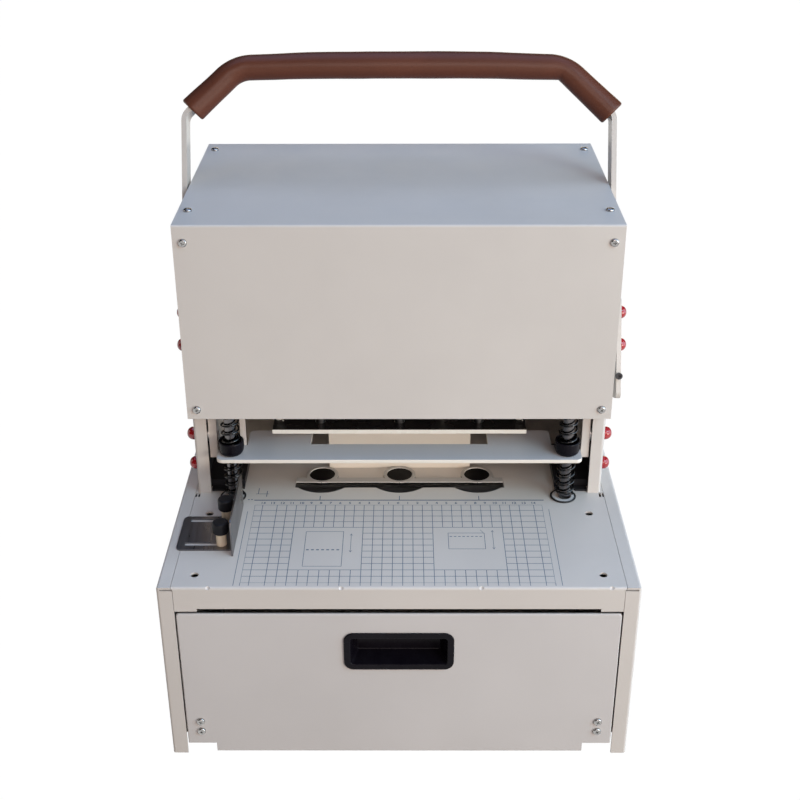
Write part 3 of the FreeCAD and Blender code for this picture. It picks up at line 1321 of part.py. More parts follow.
def lever_side_plate():
    """Plate bolted outside the right arm; its lower front carries the black screw."""
    body = doc.addObject("PartDesign::Body", "lever_side_plate")
    slab = doc.addObject("PartDesign::AdditiveBox", "plate_slab")
    body.addObject(slab)
    slab.setExpression("Length", expression("side_plate_gauge"))
    slab.setExpression("Width", expression("side_plate_front + side_plate_back"))
    slab.setExpression("Height", expression("side_plate_top + side_plate_bottom"))
    place(slab, "arm_span / 2 + arm_gauge", "-side_plate_front", "-side_plate_bottom")
    doc.recompute()
    upright = [
        f"Edge{index}"
        for index, edge in enumerate(slab.Shape.Edges, 1)
        if near(edge.BoundBox.YLength, 0) and near(edge.BoundBox.ZLength, 0)
    ]
    corners = doc.addObject("PartDesign::Fillet", "plate_corners")
    body.addObject(corners)
    corners.Base = (slab, upright)
    corners.setExpression("Radius", expression("side_plate_corner"))
    inner, deep = "arm_span / 2 + arm_gauge", "side_plate_gauge + 2"
    middle, edge = f"{inner} + side_plate_gauge / 2", "-side_plate_front - 1"
    holes = [
        ("plate_bolt_low", "X", (f"{inner} - 1", "0 * seam", "-bolt_pitch / 2"), "bolt_radius", deep),
        ("plate_bolt_high", "X", (f"{inner} - 1", "0 * seam", "bolt_pitch / 2"), "bolt_radius", deep),
        ("plate_screw_hole", "Y", (middle, edge, "-stop_screw_drop"), "stop_screw_shank",
         "stop_screw_length + 1"),
    ]
    for name, axis, at, radius, length in holes:
        hole = doc.addObject("PartDesign::SubtractiveCylinder", name)
        body.addObject(hole)
        hole.Placement = Placement(Vector(), TURNS[axis])
        hole.setExpression("Radius", expression(radius))
        hole.setExpression("Height", expression(length))
        place(hole, *at)
        body.Tip = hole
    body.Placement = lever_placement()
    return body


def arm_domed_bolts():
    """Two bolts through each arm into the shaft's flange, each under a red dome."""
    shapes = []
    for sign in (-1, 1):
        plate = size("side_plate_gauge") if sign > 0 else 0
        reach = size("arm_gauge") + plate
        for step in (-0.5, 0.5):
            at = Vector(sign * (size("arm_span") / 2 + reach), 0, step * size("bolt_pitch"))
            shapes.append(domed_bolt(at, Vector(sign, 0, 0), reach + size("flange_gauge")))
    return solid("arm_domed_bolts", Part.makeCompound(shapes), lever_placement())


def stop_screw():
    """Black socket screw in the side plate's front edge, near its lower end."""
    radius, head = size("stop_screw_radius"), size("stop_screw_head")
    shank, length = size("stop_screw_shank"), size("stop_screw_length")
    screw = Part.makeCylinder(radius, head)
    screw = screw.fuse(Part.makeCylinder(shank, length + 1, Vector(0, 0, -length)))
    corners = [Vector(0.55 * radius * math.cos(a), 0.55 * radius * math.sin(a), head / 2)
               for a in (math.pi * step / 3 for step in range(6))]
    socket = Part.Face(Part.makePolygon(corners + corners[:1])).extrude(Vector(0, 0, head))
    screw = screw.cut(socket).removeSplitter()
    across = size("arm_span") / 2 + size("arm_gauge") + size("side_plate_gauge") / 2
    at = Vector(across, -size("side_plate_front"), -size("stop_screw_drop"))
    screw.Placement = Placement(at, Rotation(Vector(0, 0, 1), Vector(0, -1, 0)))
    return solid("stop_screw", Part.makeCompound([screw]), lever_placement())


# ---------------------------------------------------------------- paper stop


def paper_stop():
    """Steel foot with two slots and an upright wall along its inner edge."""
    low = f"{up('slide_gap')}"
    foot = block("stop_foot", ("-stop_left", "stop_gauge - stop_wall"),
                 (back("stop_setback"), back("stop_setback + stop_depth")), (low, f"{low} + stop_gauge"))
    wall = block("stop_wall_blank", ("-stop_wall", "stop_gauge - stop_wall"),
                 (back("wall_setback"), back("wall_back")), (low, f"{low} + wall_height"))
    slots = []
    for index in range(2):
        setback = f"clamp_front + {index} * clamp_pitch"
        ends = [rod(f"stop_slot_end_{index}_{end}", "Z", f"-clamp_offset - {end} * clamp_slot",
                    back(setback), up("-1"), "clamp_slot_radius", "stop_gauge + 3")
                for end in range(2)]
        run = block(f"stop_slot_run_{index}", ("-clamp_offset - clamp_slot", "-clamp_offset"),
                    (back(f"{setback} - clamp_slot_radius"), back(f"{setback} + clamp_slot_radius")),
                    (up("-1"), up("stop_gauge + 2")))
        slots.append(joined(f"stop_slot_{index}", run, *ends))
    blank = cut("stop_slotted", joined("stop_blank", foot, wall), *slots)
    outer, top = -size("stop_left"), size("base_height") + size("slide_gap") + size("wall_height")
    return rounded("paper_stop", blank, size("stop_corner"),
                   lambda box: near(box.XMin, outer) and near(box.XMax, outer)
                   and near(box.YMin, box.YMax)
                   or near(box.ZMin, top) and near(box.ZMax, top) and near(box.YMin, box.YMax))


def clamp_sleeves():
    """Sleeve and screw of each clamp; the screw stands in the table."""
    pieces = []
    for index in range(2):
        setback = back(f"clamp_front + {index} * clamp_pitch")
        base = "2 * slide_gap + stop_gauge"
        sleeve = rod(f"clamp_sleeve_{index}", "Z", "-clamp_offset", setback, up(base), "sleeve_radius",
                     "sleeve_height")
        screw = rod(f"clamp_screw_{index}", "Z", "-clamp_offset", setback, up("-2 * sheet_gauge"),
                    "clamp_screw", f"2 * sheet_gauge + {base} + sleeve_height + clamp_knob_height / 2")
        nut = rod(f"clamp_nut_{index}", "Z", "-clamp_offset", setback, up("-2.5 * sheet_gauge"),
                  "sleeve_radius", "1.5 * sheet_gauge")
        pieces.append(joined(f"clamp_{index}", sleeve, screw, nut))
    return grouped("clamp_sleeves", *pieces)


def clamp_knob(index, name):
    """Black knurled nut on a clamp screw."""
    height = size("clamp_knob_height")
    shape = knurled(size("clamp_knob_radius"), height, 0, 0, 0)
    bore = Part.makeCylinder(size("clamp_screw") + size("slide_gap"), height / 2 + 1 + size("slide_gap"),
                             Vector(0, 0, -1))
    rise = 2 * size("slide_gap") + size("stop_gauge") + size("sleeve_height")
    at = point(-size("clamp_offset"), size("clamp_front") + index * size("clamp_pitch"), rise)
    return solid(name, shape.cut(bore), Placement(at, Rotation()))


# ---------------------------------------------------------------- drawer


def drawer_front():
    """Sheet pan whose face fills the cabinet's front below the table's lip."""
    half, top = "drawer_width / 2", "base_height - lip_height - drawer_reveal"
    face = "-base_depth / 2"
    slab = block("drawer_slab", (f"-{half}", half), (face, f"{face} + drawer_fold"), ("drawer_clear", top))
    inside = (f"drawer_gauge - {half}", f"{half} - drawer_gauge")
    tools = [
        block("drawer_hollow", inside, (f"{face} + drawer_gauge", f"{face} + drawer_fold + 1"),
              ("drawer_clear + drawer_gauge", f"{top} - drawer_hem_height")),
        block("drawer_opening", inside, (f"{face} + drawer_hem", f"{face} + drawer_fold + 1"),
              (f"{top} - drawer_hem_height - 1", f"{top} + 1")),
    ]
    edge_x, edge_y = size("drawer_width") / 2, -size("base_depth") / 2
    edge_z = size("base_height") - size("lip_height") - size("drawer_reveal")
    corners = rounded("drawer_corners", slab, size("drawer_corner"),
                      lambda box: near(abs(box.XMin), edge_x) and near(box.XMin, box.XMax)
                      and near(box.ZMin, edge_z) and near(box.ZMax, edge_z))
    smooth = rounded("drawer_folds", corners, 1.1 * size("drawer_gauge"),
                     lambda box: near(box.YMin, edge_y) and near(box.YMax, edge_y)
                     and near(box.ZMin, edge_z) and near(box.ZMax, edge_z))
    for side, x in (("left", (f"-{half} - 1", f"drawer_notch - {half}")),
                    ("right", (f"{half} - drawer_notch", f"{half} + 1"))):
        tools.append(block(f"drawer_notch_{side}", x, (f"{face} - 1", f"{face} + drawer_fold + 1"),
                           ("drawer_clear - 1", "drawer_clear + drawer_notch_height")))
    tools.append(block("drawer_pull_hole",
                       ("pull_bezel - pull_width / 2", "pull_width / 2 - pull_bezel"),
                       (f"{face} - 1", f"{face} + drawer_gauge + 1"),
                       ("pull_centre + pull_bezel - pull_height / 2",
                        "pull_centre + pull_height / 2 - pull_bezel")))
    for side, sign in (("left", "-"), ("right", "")):
        for index in range(2):
            tools.append(rod(f"drawer_screw_hole_{side}_{index}", "Y", f"{sign}drawer_screw_span / 2",
                             f"{face} - 1", f"drawer_screw_low + {index} * drawer_screw_pitch",
                             "screw_shank", "drawer_gauge + 2"))
    return cut("drawer_front", smooth, *tools)


def drawer_tray():
    """Open box behind the drawer front; it catches the punched scraps."""
    half, front = "tray_width / 2", "drawer_gauge - base_depth / 2"
    slab = block("tray_slab", (f"-{half}", half), (front, f"{front} + tray_depth"),
                 ("tray_bottom", "tray_bottom + tray_height"))
    hollow = block("tray_hollow", (f"drawer_gauge - {half}", f"{half} - drawer_gauge"),
                   (f"{front} + drawer_gauge", f"{front} + tray_depth - drawer_gauge"),
                   ("tray_bottom + drawer_gauge", "tray_bottom + tray_height + 1"))
    notch = block("tray_pull_notch", ("pull_bezel - pull_width / 2", "pull_width / 2 - pull_bezel"),
                  (f"{front} - 1", f"{front} + drawer_gauge + 1"),
                  ("pull_centre + pull_bezel - pull_height / 2", "tray_bottom + tray_height + 1"))
    holes = [rod(f"tray_screw_hole_{side}_{index}", "Y", f"{sign}drawer_screw_span / 2", f"{front} - 1",
                 f"drawer_screw_low + {index} * drawer_screw_pitch", "screw_shank", "drawer_gauge + 2")
             for side, sign in (("left", "-"), ("right", "")) for index in range(2)]
    return cut("drawer_tray", slab, hollow, notch, *holes)


def rectangle(width, height, corner, y, middle):
    """A rounded rectangle in a plane that faces the front."""
    across, upward = width / 2, height / 2
    outline = [(0, upward), (across, upward), (across, -upward), (-across, -upward), (-across, upward),
               (0, upward)]
    return bent_path([Vector(x, y, middle + z) for x, z in outline], [corner] * 4)


def drawer_pull():
    """Black moulded pull: a bezel in front of the drawer and a tapering finger recess."""
    width, height, bezel = size("pull_width"), size("pull_height"), size("pull_bezel")
    face = -size("base_depth") / 2
    front, rear = face - size("pull_proud"), face + size("pull_depth")
    middle, wall, taper = size("pull_centre"), size("pull_wall"), size("pull_taper")
    corner = size("pull_corner")
    rim = Part.Face(rectangle(width, height, corner, front, middle))
    rim = rim.extrude(Vector(0, size("pull_proud"), 0))
    fit = bezel + size("seam") / 2
    inner = max(1, corner - bezel)
    body = Part.makeBox(width - 2 * fit, rear - face, height - 2 * fit,
                        Vector(fit - width / 2, face, middle - height / 2 + fit))
    mouth = rectangle(width - 2 * fit - wall, height - 2 * fit - wall, inner, front, middle)
    end = rectangle(width - 2 * fit - 2 * wall - taper, height - 2 * fit - 2 * wall - taper, inner,
                    rear - wall, middle)
    recess = Part.makeLoft([mouth, end], True, True)
    return solid("drawer_pull", rim.fuse(body).cut(recess).removeSplitter())


def drawer_screws():
    shapes = []
    for sign in (-1, 1):
        for index in range(2):
            at = Vector(sign * size("drawer_screw_span") / 2, -size("base_depth") / 2,
                        size("drawer_screw_low") + index * size("drawer_screw_pitch"))
            shapes.append(pan_screw(at, Vector(0, -1, 0)))
    return solid("drawer_screws", Part.makeCompound(shapes))


def drawer_runners():
    """Fixed halves of the two runners, on blocks against the cabinet's sides."""
    wall, inner = "base_width / 2 - sheet_gauge", "tray_width / 2 + 5 + runner_gap"
    ends = ("-runner_length / 2", "runner_length / 2")
    heights = ("runner_low", "runner_low + runner_height")
    strip = block("runner_strip", (inner, f"{inner} + 3"), ends, heights)
    blocks = [block(f"runner_block_{index}", (f"{inner} + 3", wall), y, heights)
              for index, y in enumerate(((ends[0], f"{ends[0]} + 20"), (f"{ends[1]} - 20", ends[1])))]
    right = joined("runner_right", strip, *blocks)
    return grouped("drawer_runners", right, mirrored("runner_left", right))


def drawer_slides():
    """Moving halves of the runners, on the tray's sides."""
    right = block("slide_right", ("tray_width / 2", "tray_width / 2 + 5"),
                  ("-runner_length / 2", "runner_length / 2"), ("runner_low", "runner_low + runner_height"))
    return grouped("drawer_slides", right, mirrored("slide_left", right))


# ---------------------------------------------------------------- assembly


def pair(name, source):
    """The right-hand piece and its mirror image, as two nodes."""
    node(f"{name}_right", source)
    node(f"{name}_left", mirrored(f"{name}_left", source))


def build():
    pair("side_panel", side_panel())
    rail = table_rail()
    node("table_rails", grouped("table_rails", rail, mirrored("table_rail_left", rail)))
    pair("frame_side", frame_side())
    pair("bearing_plate", bearing_plate())
    pair("foot_bracket", foot_bracket())
    fixed = [
        table_plate, base_rear_panel, base_floor, anvil_beam, pad_holder, cutting_pads, pad_set_screws,
        back_gauge, frame_spacers, frame_domed_bolts, tie_bar, guide_rods, rod_nuts, spring_seats,
        loose_rings, lower_springs, head_cover, rear_cover, cover_screws, shaft_bushes,
        clamp_sleeves, drawer_runners,
    ]
    moving = [
        cross_shaft, pinions, racks, crosshead, rod_bushes, punches, guide_plate, guide_studs,
        guide_springs, press_plate, press_indicator, rod_knobs, upper_springs, lever_arms, foam_grip,
        lever_side_plate, arm_domed_bolts, stop_screw, paper_stop, drawer_front, drawer_tray,
        drawer_pull, drawer_screws, drawer_slides,
    ]
    for make in fixed + moving:
        node(make.__name__, make())
    for index, name in enumerate(("clamp_knob_front", "clamp_knob_rear")):
        node(name, clamp_knob(index, name))


build()
doc.recompute()

for obj in doc.Objects:
    if "Invalid" in obj.State or "Error" in obj.State:
        raise RuntimeError(f"{obj.Name} did not build: {obj.State}")
for obj in NODES:
    if obj.Shape.isNull() or not obj.Shape.isValid():
        raise RuntimeError(f"{obj.Label} has a broken shape")

os.makedirs("parts", exist_ok=True)
for obj in NODES:
    obj.Shape.exportStep(f"parts/{obj.Label}.step")
print(len(NODES), "sub-parts written")
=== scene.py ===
# %% [markdown]
# # Dressing a document riveting machine
# The machine is a sheet-steel cabinet with a drawer, a printed table with three anvils, and a head
# whose hand lever drives three punches.  Its solids come ready made from the CAD model and stay
# where they are.  This lesson gives every surface a finish, in places with painted light and shade,
# and models the pieces whose charm is in small shapes: foam, folded edges, screws, the moulded pull
# and the printed grid.

# %% Load the machine
import math

import bmesh
import bpy
from mathutils import Matrix, Vector


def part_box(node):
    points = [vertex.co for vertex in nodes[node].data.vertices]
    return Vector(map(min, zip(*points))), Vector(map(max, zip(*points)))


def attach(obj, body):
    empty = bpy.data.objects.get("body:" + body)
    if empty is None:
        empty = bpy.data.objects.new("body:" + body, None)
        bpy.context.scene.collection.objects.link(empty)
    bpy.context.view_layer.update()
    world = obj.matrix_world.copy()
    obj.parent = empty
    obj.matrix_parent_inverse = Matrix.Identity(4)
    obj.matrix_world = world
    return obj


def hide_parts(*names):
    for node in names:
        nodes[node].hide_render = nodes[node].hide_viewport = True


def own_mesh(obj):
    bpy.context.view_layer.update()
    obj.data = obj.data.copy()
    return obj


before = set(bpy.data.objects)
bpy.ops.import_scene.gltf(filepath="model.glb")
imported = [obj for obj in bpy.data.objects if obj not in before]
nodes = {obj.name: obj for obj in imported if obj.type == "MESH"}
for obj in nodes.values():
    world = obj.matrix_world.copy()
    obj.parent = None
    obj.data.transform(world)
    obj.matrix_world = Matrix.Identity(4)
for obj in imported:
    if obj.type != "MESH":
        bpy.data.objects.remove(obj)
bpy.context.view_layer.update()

MM = 0.001

# %% [markdown]
# ## The camera
# A desk machine is usually shown from just above eye level, so that its front and its table are both
# seen.  A camera can be aimed by hand or by its height, its distance and its pitch; numbers are used
# here because the view then stays the same on every run.  A long lens keeps the upright edges calm.

# %% Camera
CAMERA_PLACE = (0.00625, -1.15925, 0.88335)
CAMERA_PITCH, CAMERA_YAW, CAMERA_ROLL = 27.62, 0.28, -0.16
FOCAL_PIXELS, FRAME_PIXELS, SENSOR = 1281.99, 800, 36


def make_camera():
    data = bpy.data.cameras.new("camera")
    data.sensor_width = SENSOR
    data.lens = FOCAL_PIXELS / FRAME_PIXELS * SENSOR
    camera = bpy.data.objects.new("camera", data)
    bpy.context.scene.collection.objects.link(camera)
    turn = Matrix.Rotation(math.radians(CAMERA_YAW), 4, "Z")
    turn @= Matrix.Rotation(math.radians(90 - CAMERA_PITCH), 4, "X")
    turn @= Matrix.Rotation(math.radians(CAMERA_ROLL), 4, "Z")
    camera.matrix_world = Matrix.Translation(CAMERA_PLACE) @ turn
    bpy.context.scene.camera = camera
    return camera


camera = make_camera()
bpy.context.scene.view_settings.view_transform = "Standard"
print("camera with a", round(camera.data.lens, 2), "mm lens")

# %% [markdown]
# ## Writing shader maths as plain sums
# Every finish below is worked out from numbers: how high a point lies on the piece, how strong a
# noise is there.  Wiring Math nodes by hand hides such a sum, so one small class wraps a socket and
# lets `+`, `-`, `*` and `>` add the nodes.

# %% Sums in a shader
class Sum:
    """A number in a material that can be used in a sum."""

    def __init__(self, finish, socket):
        self.finish, self.socket = finish, socket

    def maths(self, operation, *values):
        inputs = dict(enumerate(values))
        return self.finish.node("ShaderNodeMath", {"operation": operation}, inputs)

    def __add__(self, other):
        return self.maths("ADD", self, other)

    def __sub__(self, other):
        return self.maths("SUBTRACT", self, other)

    def __mul__(self, other):
        return self.maths("MULTIPLY", self, other)

    def __gt__(self, other):
        return self.maths("GREATER_THAN", self, other)


print("numbers in a shader can be summed")

# %% [markdown]
# A second class is one material.  Its method `node` makes any node from its type, its settings and
# its inputs, and the shorter methods below it make the few nodes that nearly every finish needs.

# %% One material
NOISE_LOW, NOISE_HIGH = 0.3, 0.7  # a noise seldom goes past these


class Finish:
    """One material, with the surface shader that its sums feed."""

    def __init__(self, name, settings):
        self.material = bpy.data.materials.new(name)
        self.material.use_nodes = True
        self.tree = self.material.node_tree
        self.surface = self.tree.nodes["Principled BSDF"]
        self.place = self.node("ShaderNodeTexCoord", output="Object")
        self.wear(settings)

    def node(self, kind, settings=None, inputs=None, output=0):
        """Adds a node; its settings come first, then its inputs, and one output is given back."""
        made = self.tree.nodes.new(kind)
        for name, value in (settings or {}).items():
            setattr(made, name, value)
        for key, value in (inputs or {}).items():
            self.feed(made.inputs[key], value)
        return Sum(self, made.outputs[output])

    def feed(self, socket, value):
        if isinstance(value, Sum):
            self.tree.links.new(value.socket, socket)
        elif socket.type == "RGBA":
            socket.default_value = (*value[:3], 1)
        else:
            socket.default_value = value

    def wear(self, settings):
        for name, value in settings.items():
            self.feed(self.surface.inputs[name], value)

    def axis(self, name):
        return self.node("ShaderNodeSeparateXYZ", None, {0: self.place}, name)

    def stretched(self, scale):
        """The piece's coordinates, stretched."""
        return self.node("ShaderNodeMapping", None, {"Vector": self.place, "Scale": scale})

    def noise(self, scale, detail, place=None):
        return self.node("ShaderNodeTexNoise", None, {
            "Vector": place or self.place, "Scale": scale, "Detail": detail})

    def between(self, low, high, value):
        """Carries a noise over to a range and keeps it inside."""
        return self.node("ShaderNodeMapRange", None, {
            "Value": value, "From Min": NOISE_LOW, "From Max": NOISE_HIGH, "To Min": low, "To Max": high})

    def blend(self, first, second, share):
        """A colour between two others."""
        return self.node("ShaderNodeMix", {"data_type": "RGBA"}, {0: share, 6: first, 7: second}, 2)

    def bump(self, height, distance, strength):
        return self.node("ShaderNodeBump", None, {
            "Height": height, "Distance": distance, "Strength": strength})


def colour(red, green, blue):
    """A colour as a screen shows it, 0 to 255, in the numbers that a shader wants."""
    return tuple(((c / 255 + 0.055) / 1.055) ** 2.4 for c in (red, green, blue))


print("shader helpers are ready")

# %% [markdown]
# ## Room and light
# In a catalogue such a machine stands on white paper in a bright room.  The sky here is a dim blue
# that lights the machine a little, and it is white where the camera looks at it.

# %% World
DIM_SKY, DIM_SKY_STRENGTH, WHITE_SKY = (0.72, 0.85, 1.0, 1), 0.03, (1, 1, 1, 1)


def make_world():
    world = bpy.data.worlds.new("room")
    bpy.context.scene.world = world
    world.use_nodes = True
    tree = world.node_tree
    light = tree.nodes["Background"]
    light.inputs["Color"].default_value = DIM_SKY
    light.inputs["Strength"].default_value = DIM_SKY_STRENGTH
    white = tree.nodes.new("ShaderNodeBackground")
    white.inputs["Color"].default_value = WHITE_SKY
    white.inputs["Strength"].default_value = 1
    rays = tree.nodes.new("ShaderNodeLightPath")
    seen = tree.nodes.new("ShaderNodeMath")
    seen.operation = "MAXIMUM"
    tree.links.new(rays.outputs["Is Camera Ray"], seen.inputs[0])
    tree.links.new(rays.outputs["Is Transmission Ray"], seen.inputs[1])
    choice = tree.nodes.new("ShaderNodeMixShader")
    tree.links.new(seen.outputs[0], choice.inputs[0])
    tree.links.new(light.outputs[0], choice.inputs[1])
    tree.links.new(white.outputs[0], choice.inputs[2])
    tree.links.new(choice.outputs[0], tree.nodes["World Output"].inputs[0])


make_world()
print("a dim room that looks white")

# %% [markdown]
# The ground is white paper.  A share of it glows for the camera and for reflections, which keeps it
# even, and the rest is lit, so the machine keeps its shadow.

# %% Ground
GROUND_SIZE, GROUND_TINT, GROUND_GLOW, GLOW_SHARE = 14, (0.16, 0.16, 0.16), 1.02, 0.985


def make_ground():
    bpy.ops.mesh.primitive_plane_add(size=GROUND_SIZE)
    ground = bpy.context.object
    ground.name = "ground"
    white = Finish("ground_white", {"Base Color": GROUND_TINT, "Roughness": 0.9})
    white.wear({"Specular IOR Level": 0.1})
    glow = white.node("ShaderNodeEmission", None, {"Color": WHITE_SKY, "Strength": GROUND_GLOW})
    camera_ray = white.node("ShaderNodeLightPath", output="Is Camera Ray")
    glossy_ray = white.node("ShaderNodeLightPath", output="Is Glossy Ray")
    share = camera_ray.maths("MAXIMUM", camera_ray, glossy_ray) * GLOW_SHARE
    surface = Sum(white, white.surface.outputs[0])
    mixed = white.node("ShaderNodeMixShader", None, {0: share, 1: surface, 2: glow})
    white.tree.links.new(mixed.socket, white.tree.nodes["Material Output"].inputs[0])
    ground.data.materials.append(white.material)


make_ground()
print("white ground,", GROUND_SIZE, "m wide")

# %% [markdown]
# Cool boxes above and at the right turn the flat sheets blue-grey, and warm ones in front make the
# upright sheets cream.  Most light comes from the right, so what faces left or lies deep inside
# stays darker, and weak boxes behind and at the left keep every side readable.

# %% Lamps
LAMPS = [  # name, place, target, width, height, watts, tint
    ("window_right", (2.3, -0.4, 0.9), (0, 0, 0.25), 2.2, 2.2, 52, (0.59, 0.78, 1.0)),
    ("key_front", (0.3, -2.6, 1.5), (0, 0, 0.35), 1.6, 1.0, 27, (1.0, 0.84, 0.80)),
    ("low_right", (1.9, -2.1, 0.55), (0, 0, 0.30), 0.9, 0.7, 34.5, (1.0, 0.90, 0.79)),
    ("sky_right", (1.8, -1.7, 2.4), (0, 0, 0.2), 1.3, 1.3, 36, (0.55, 0.81, 1.0)),
    ("top", (0.1, 0.3, 2.4), (0, 0, 0.2), 2.2, 2.0, 22, (0.41, 0.58, 1.0)),
    ("back", (0.3, 2.6, 0.5), (0, 0, 0.25), 2.0, 1.0, 16, (1.0, 0.84, 0.62)),
    ("side_left", (-2.3, 0.2, 0.9), (0, 0, 0.25), 1.4, 1.4, 8, (1.0, 0.94, 0.86)),
]


def soft_box(name, place, target, width, height, watts, tint):
    """A rectangular lamp that faces a point."""
    data = bpy.data.lights.new(name, "AREA")
    data.shape, data.size, data.size_y = "RECTANGLE", width, height
    data.energy, data.color = watts, tint
    lamp = bpy.data.objects.new(name, data)
    bpy.context.scene.collection.objects.link(lamp)
    lamp.location = place
    lamp.rotation_euler = (Vector(target) - Vector(place)).to_track_quat("-Z", "Y").to_euler()


for row in LAMPS:
    soft_box(*row)
print(len(LAMPS), "soft boxes")

# %% [markdown]
# ## Baked paint
# The cabinet and the head are sprayed with a satin grey-beige paint and baked.  Such paint is not
# flat: it dries with a fine ripple called orange peel, and its gloss wanders a little.  An image
# could show that, but it would need unwrapped sheets.  Noise on the piece's own coordinates gives
# the ripple at its true size on every sheet, however it is folded.

# %% Paint
PAINT = colour(210, 202, 193)
CLOUD_SCALE, GLOSS_SCALE, PEEL_SCALE, SPECK_SCALE = 9, 38, 520, 2600
SPECK_SHARE, PEEL_DEPTH, PEEL_STRENGTH = 0.25, 0.06 * MM, 0.55
CLOUD_DARKEST = (0.94, 0.94, 0.94)


def make_paint(name, tint, roughness, *bands):
    """Satin paint; each band gives the height in millimetres above which another tint starts, which on
    some pieces is painted light or shade.
    """
    paint = Finish(name, {})
    cloud = paint.noise(CLOUD_SCALE, 3)
    peel = paint.noise(PEEL_SCALE, 2)
    speck = paint.noise(SPECK_SCALE, 1)
    height = peel + speck * SPECK_SHARE
    for height_from, upper_tint in bands:
        tint = paint.blend(tint, upper_tint, paint.axis("Z") > height_from * MM)
    cloudy = paint.node("ShaderNodeMix", {"data_type": "RGBA", "blend_type": "MULTIPLY"}, {
        0: 1.0, 6: tint, 7: paint.blend(CLOUD_DARKEST, (1, 1, 1), paint.between(0, 1, cloud))}, 2)
    paint.wear({
        "Base Color": cloudy,
        "Roughness": paint.between(roughness - 0.04, roughness + 0.05, paint.noise(GLOSS_SCALE, 3)),
        "Normal": paint.bump(height, PEEL_DEPTH, PEEL_STRENGTH),
    })
    return paint.material


cabinet_paint = make_paint("cabinet_paint", PAINT, 0.42)
table_paint = make_paint("table_paint", PAINT, 0.33)
drawer_paint = make_paint("drawer_paint", colour(205, 199, 194), 0.42)
# The press plate's pale cream below 246.9 mm is a painted highlight on its front edge, and the grey above
# it is painted shade on its top under the head.
plate_lit_front_shaded_top = make_paint("plate_lit_front_shaded_top", colour(238, 230, 216), 0.34, (246.9, colour(200, 198, 198)))
# The guide plate's near-white below 260.9 mm is a painted highlight on its front edge, and the near-black
# above it is painted shade on its top under the head cover.
guide_strip_lit_edge_shaded_top = make_paint("guide_strip_lit_edge_shaded_top", colour(250, 247, 236), 0.26, (260.9, colour(34, 32, 32)))
# The pad holder is black below 197.7 mm and light grey above 198.48 mm; the thin bright band between them
# is a painted highlight along its top edge.
holder_paint_with_lit_edge = make_paint("holder_paint_with_lit_edge", colour(14, 13, 13), 0.34, (197.7, colour(236, 232, 224)),
                          (198.48, colour(182, 177, 170)))
# The dark grey on the table rails is painted shade: it keeps the holes in the table and the gap under its
# lip dark.
inner_painted_shade = make_paint("inner_painted_shade", colour(70, 66, 63), 0.55)
arm_paint = make_paint("arm_paint", colour(198, 189, 178), 0.32)
# The back gauge's cream is partly its own paint and partly painted light: it is made paler to stand in
# for light that reaches it under the head.
gauge_cream_with_painted_light = make_paint("gauge_cream_with_painted_light", colour(246, 236, 220), 0.42)
cream_sleeve = make_paint("cream_sleeve", colour(230, 214, 188), 0.5)
print("paint in ten tints")

# %% [markdown]
# ## Bare and plated metal
# Ground steel has fine scratches that run one way.  Stretching a noise ten or more times along the
# grinding direction draws them, and the same lines drive both roughness and bump.  Black oxide and
# rubber are nearly even, so they only get a soft mottle.

# %% Metals
GRAIN_SCALE, MOTTLE_SCALE, MOTTLE_SHARE, DARK_METAL = 240, 30, 0.3, 0.80


def make_metal(name, tint, roughness, stretch, depth=0.00002, metal=1.0, grain=GRAIN_SCALE):
    """Metal with lines across the stretched direction; depth is that of its scratches."""
    steel = Finish(name, {"Metallic": metal})
    lines = steel.noise(grain, 3, steel.stretched(stretch))
    mottle = steel.noise(MOTTLE_SCALE, 3)
    darker = tuple(c * DARK_METAL for c in tint)
    shade = lines * (1 - MOTTLE_SHARE) + mottle * MOTTLE_SHARE
    steel.wear({
        "Base Color": steel.blend(darker, tint, steel.between(0.2, 1, shade)),
        "Roughness": steel.between(roughness - 0.07, roughness + 0.10, lines),
        "Normal": steel.bump(lines, depth, 0.6),
    })
    return steel.material


ground_steel = make_metal("ground_steel", (0.52, 0.51, 0.50), 0.34, (0.06, 1, 1))
cast_steel = make_metal("cast_steel", (0.36, 0.36, 0.36), 0.42, (1, 1, 1))
# The stainless is darkened below real stainless as painted shade for the dark surroundings that it
# reflects.
brushed_stainless_painted_shade = make_metal("brushed_stainless_painted_shade", (0.24, 0.23, 0.23), 0.32, (1, 0.05, 0.05), grain=420)
# The rods' chrome is darkened far below real chrome as painted shade for the dark interior that it
# reflects.
rod_chrome_painted_shade = make_metal("rod_chrome_painted_shade", (0.16, 0.15, 0.15), 0.14, (1, 1, 0.15), 0.000004)
spring_wire = make_metal("spring_wire", (0.06, 0.06, 0.06), 0.24, (1, 1, 1), 0.00001)
punch_steel = make_metal("punch_steel", (0.13, 0.13, 0.13), 0.36, (1, 1, 1))
small_wire = make_metal("small_wire", (0.80, 0.78, 0.70), 0.30, (1, 1, 1), 0.00001, 0.15)
zinc_plate = make_metal("zinc_plate", (0.42, 0.41, 0.40), 0.16, (1, 1, 1), 0.00001)
oiled_bronze = make_metal("oiled_bronze", (0.55, 0.38, 0.18), 0.36, (0.1, 1, 1))
black_oxide = make_metal("black_oxide", (0.020, 0.020, 0.023), 0.40, (1, 1, 1), 0.00003, 0.35, 700)
print("metals from ground steel to black oxide")

# %% [markdown]
# ## Plastics, rubber and foam
# The domes are glossy caps, the pull is moulded with a faint spark-eroded grain, the pads are
# matt nylon.  The grip is closed-cell foam: its skin shows rounded cells about a millimetre across
# with dark joints, which a Voronoi pattern draws better than any noise.

# %% Plastics and foam
CELL_SCALE, SKIN_SCALE, BLOTCH_SCALE, CELL_DEPTH = 1300, 2400, 28, 0.12 * MM


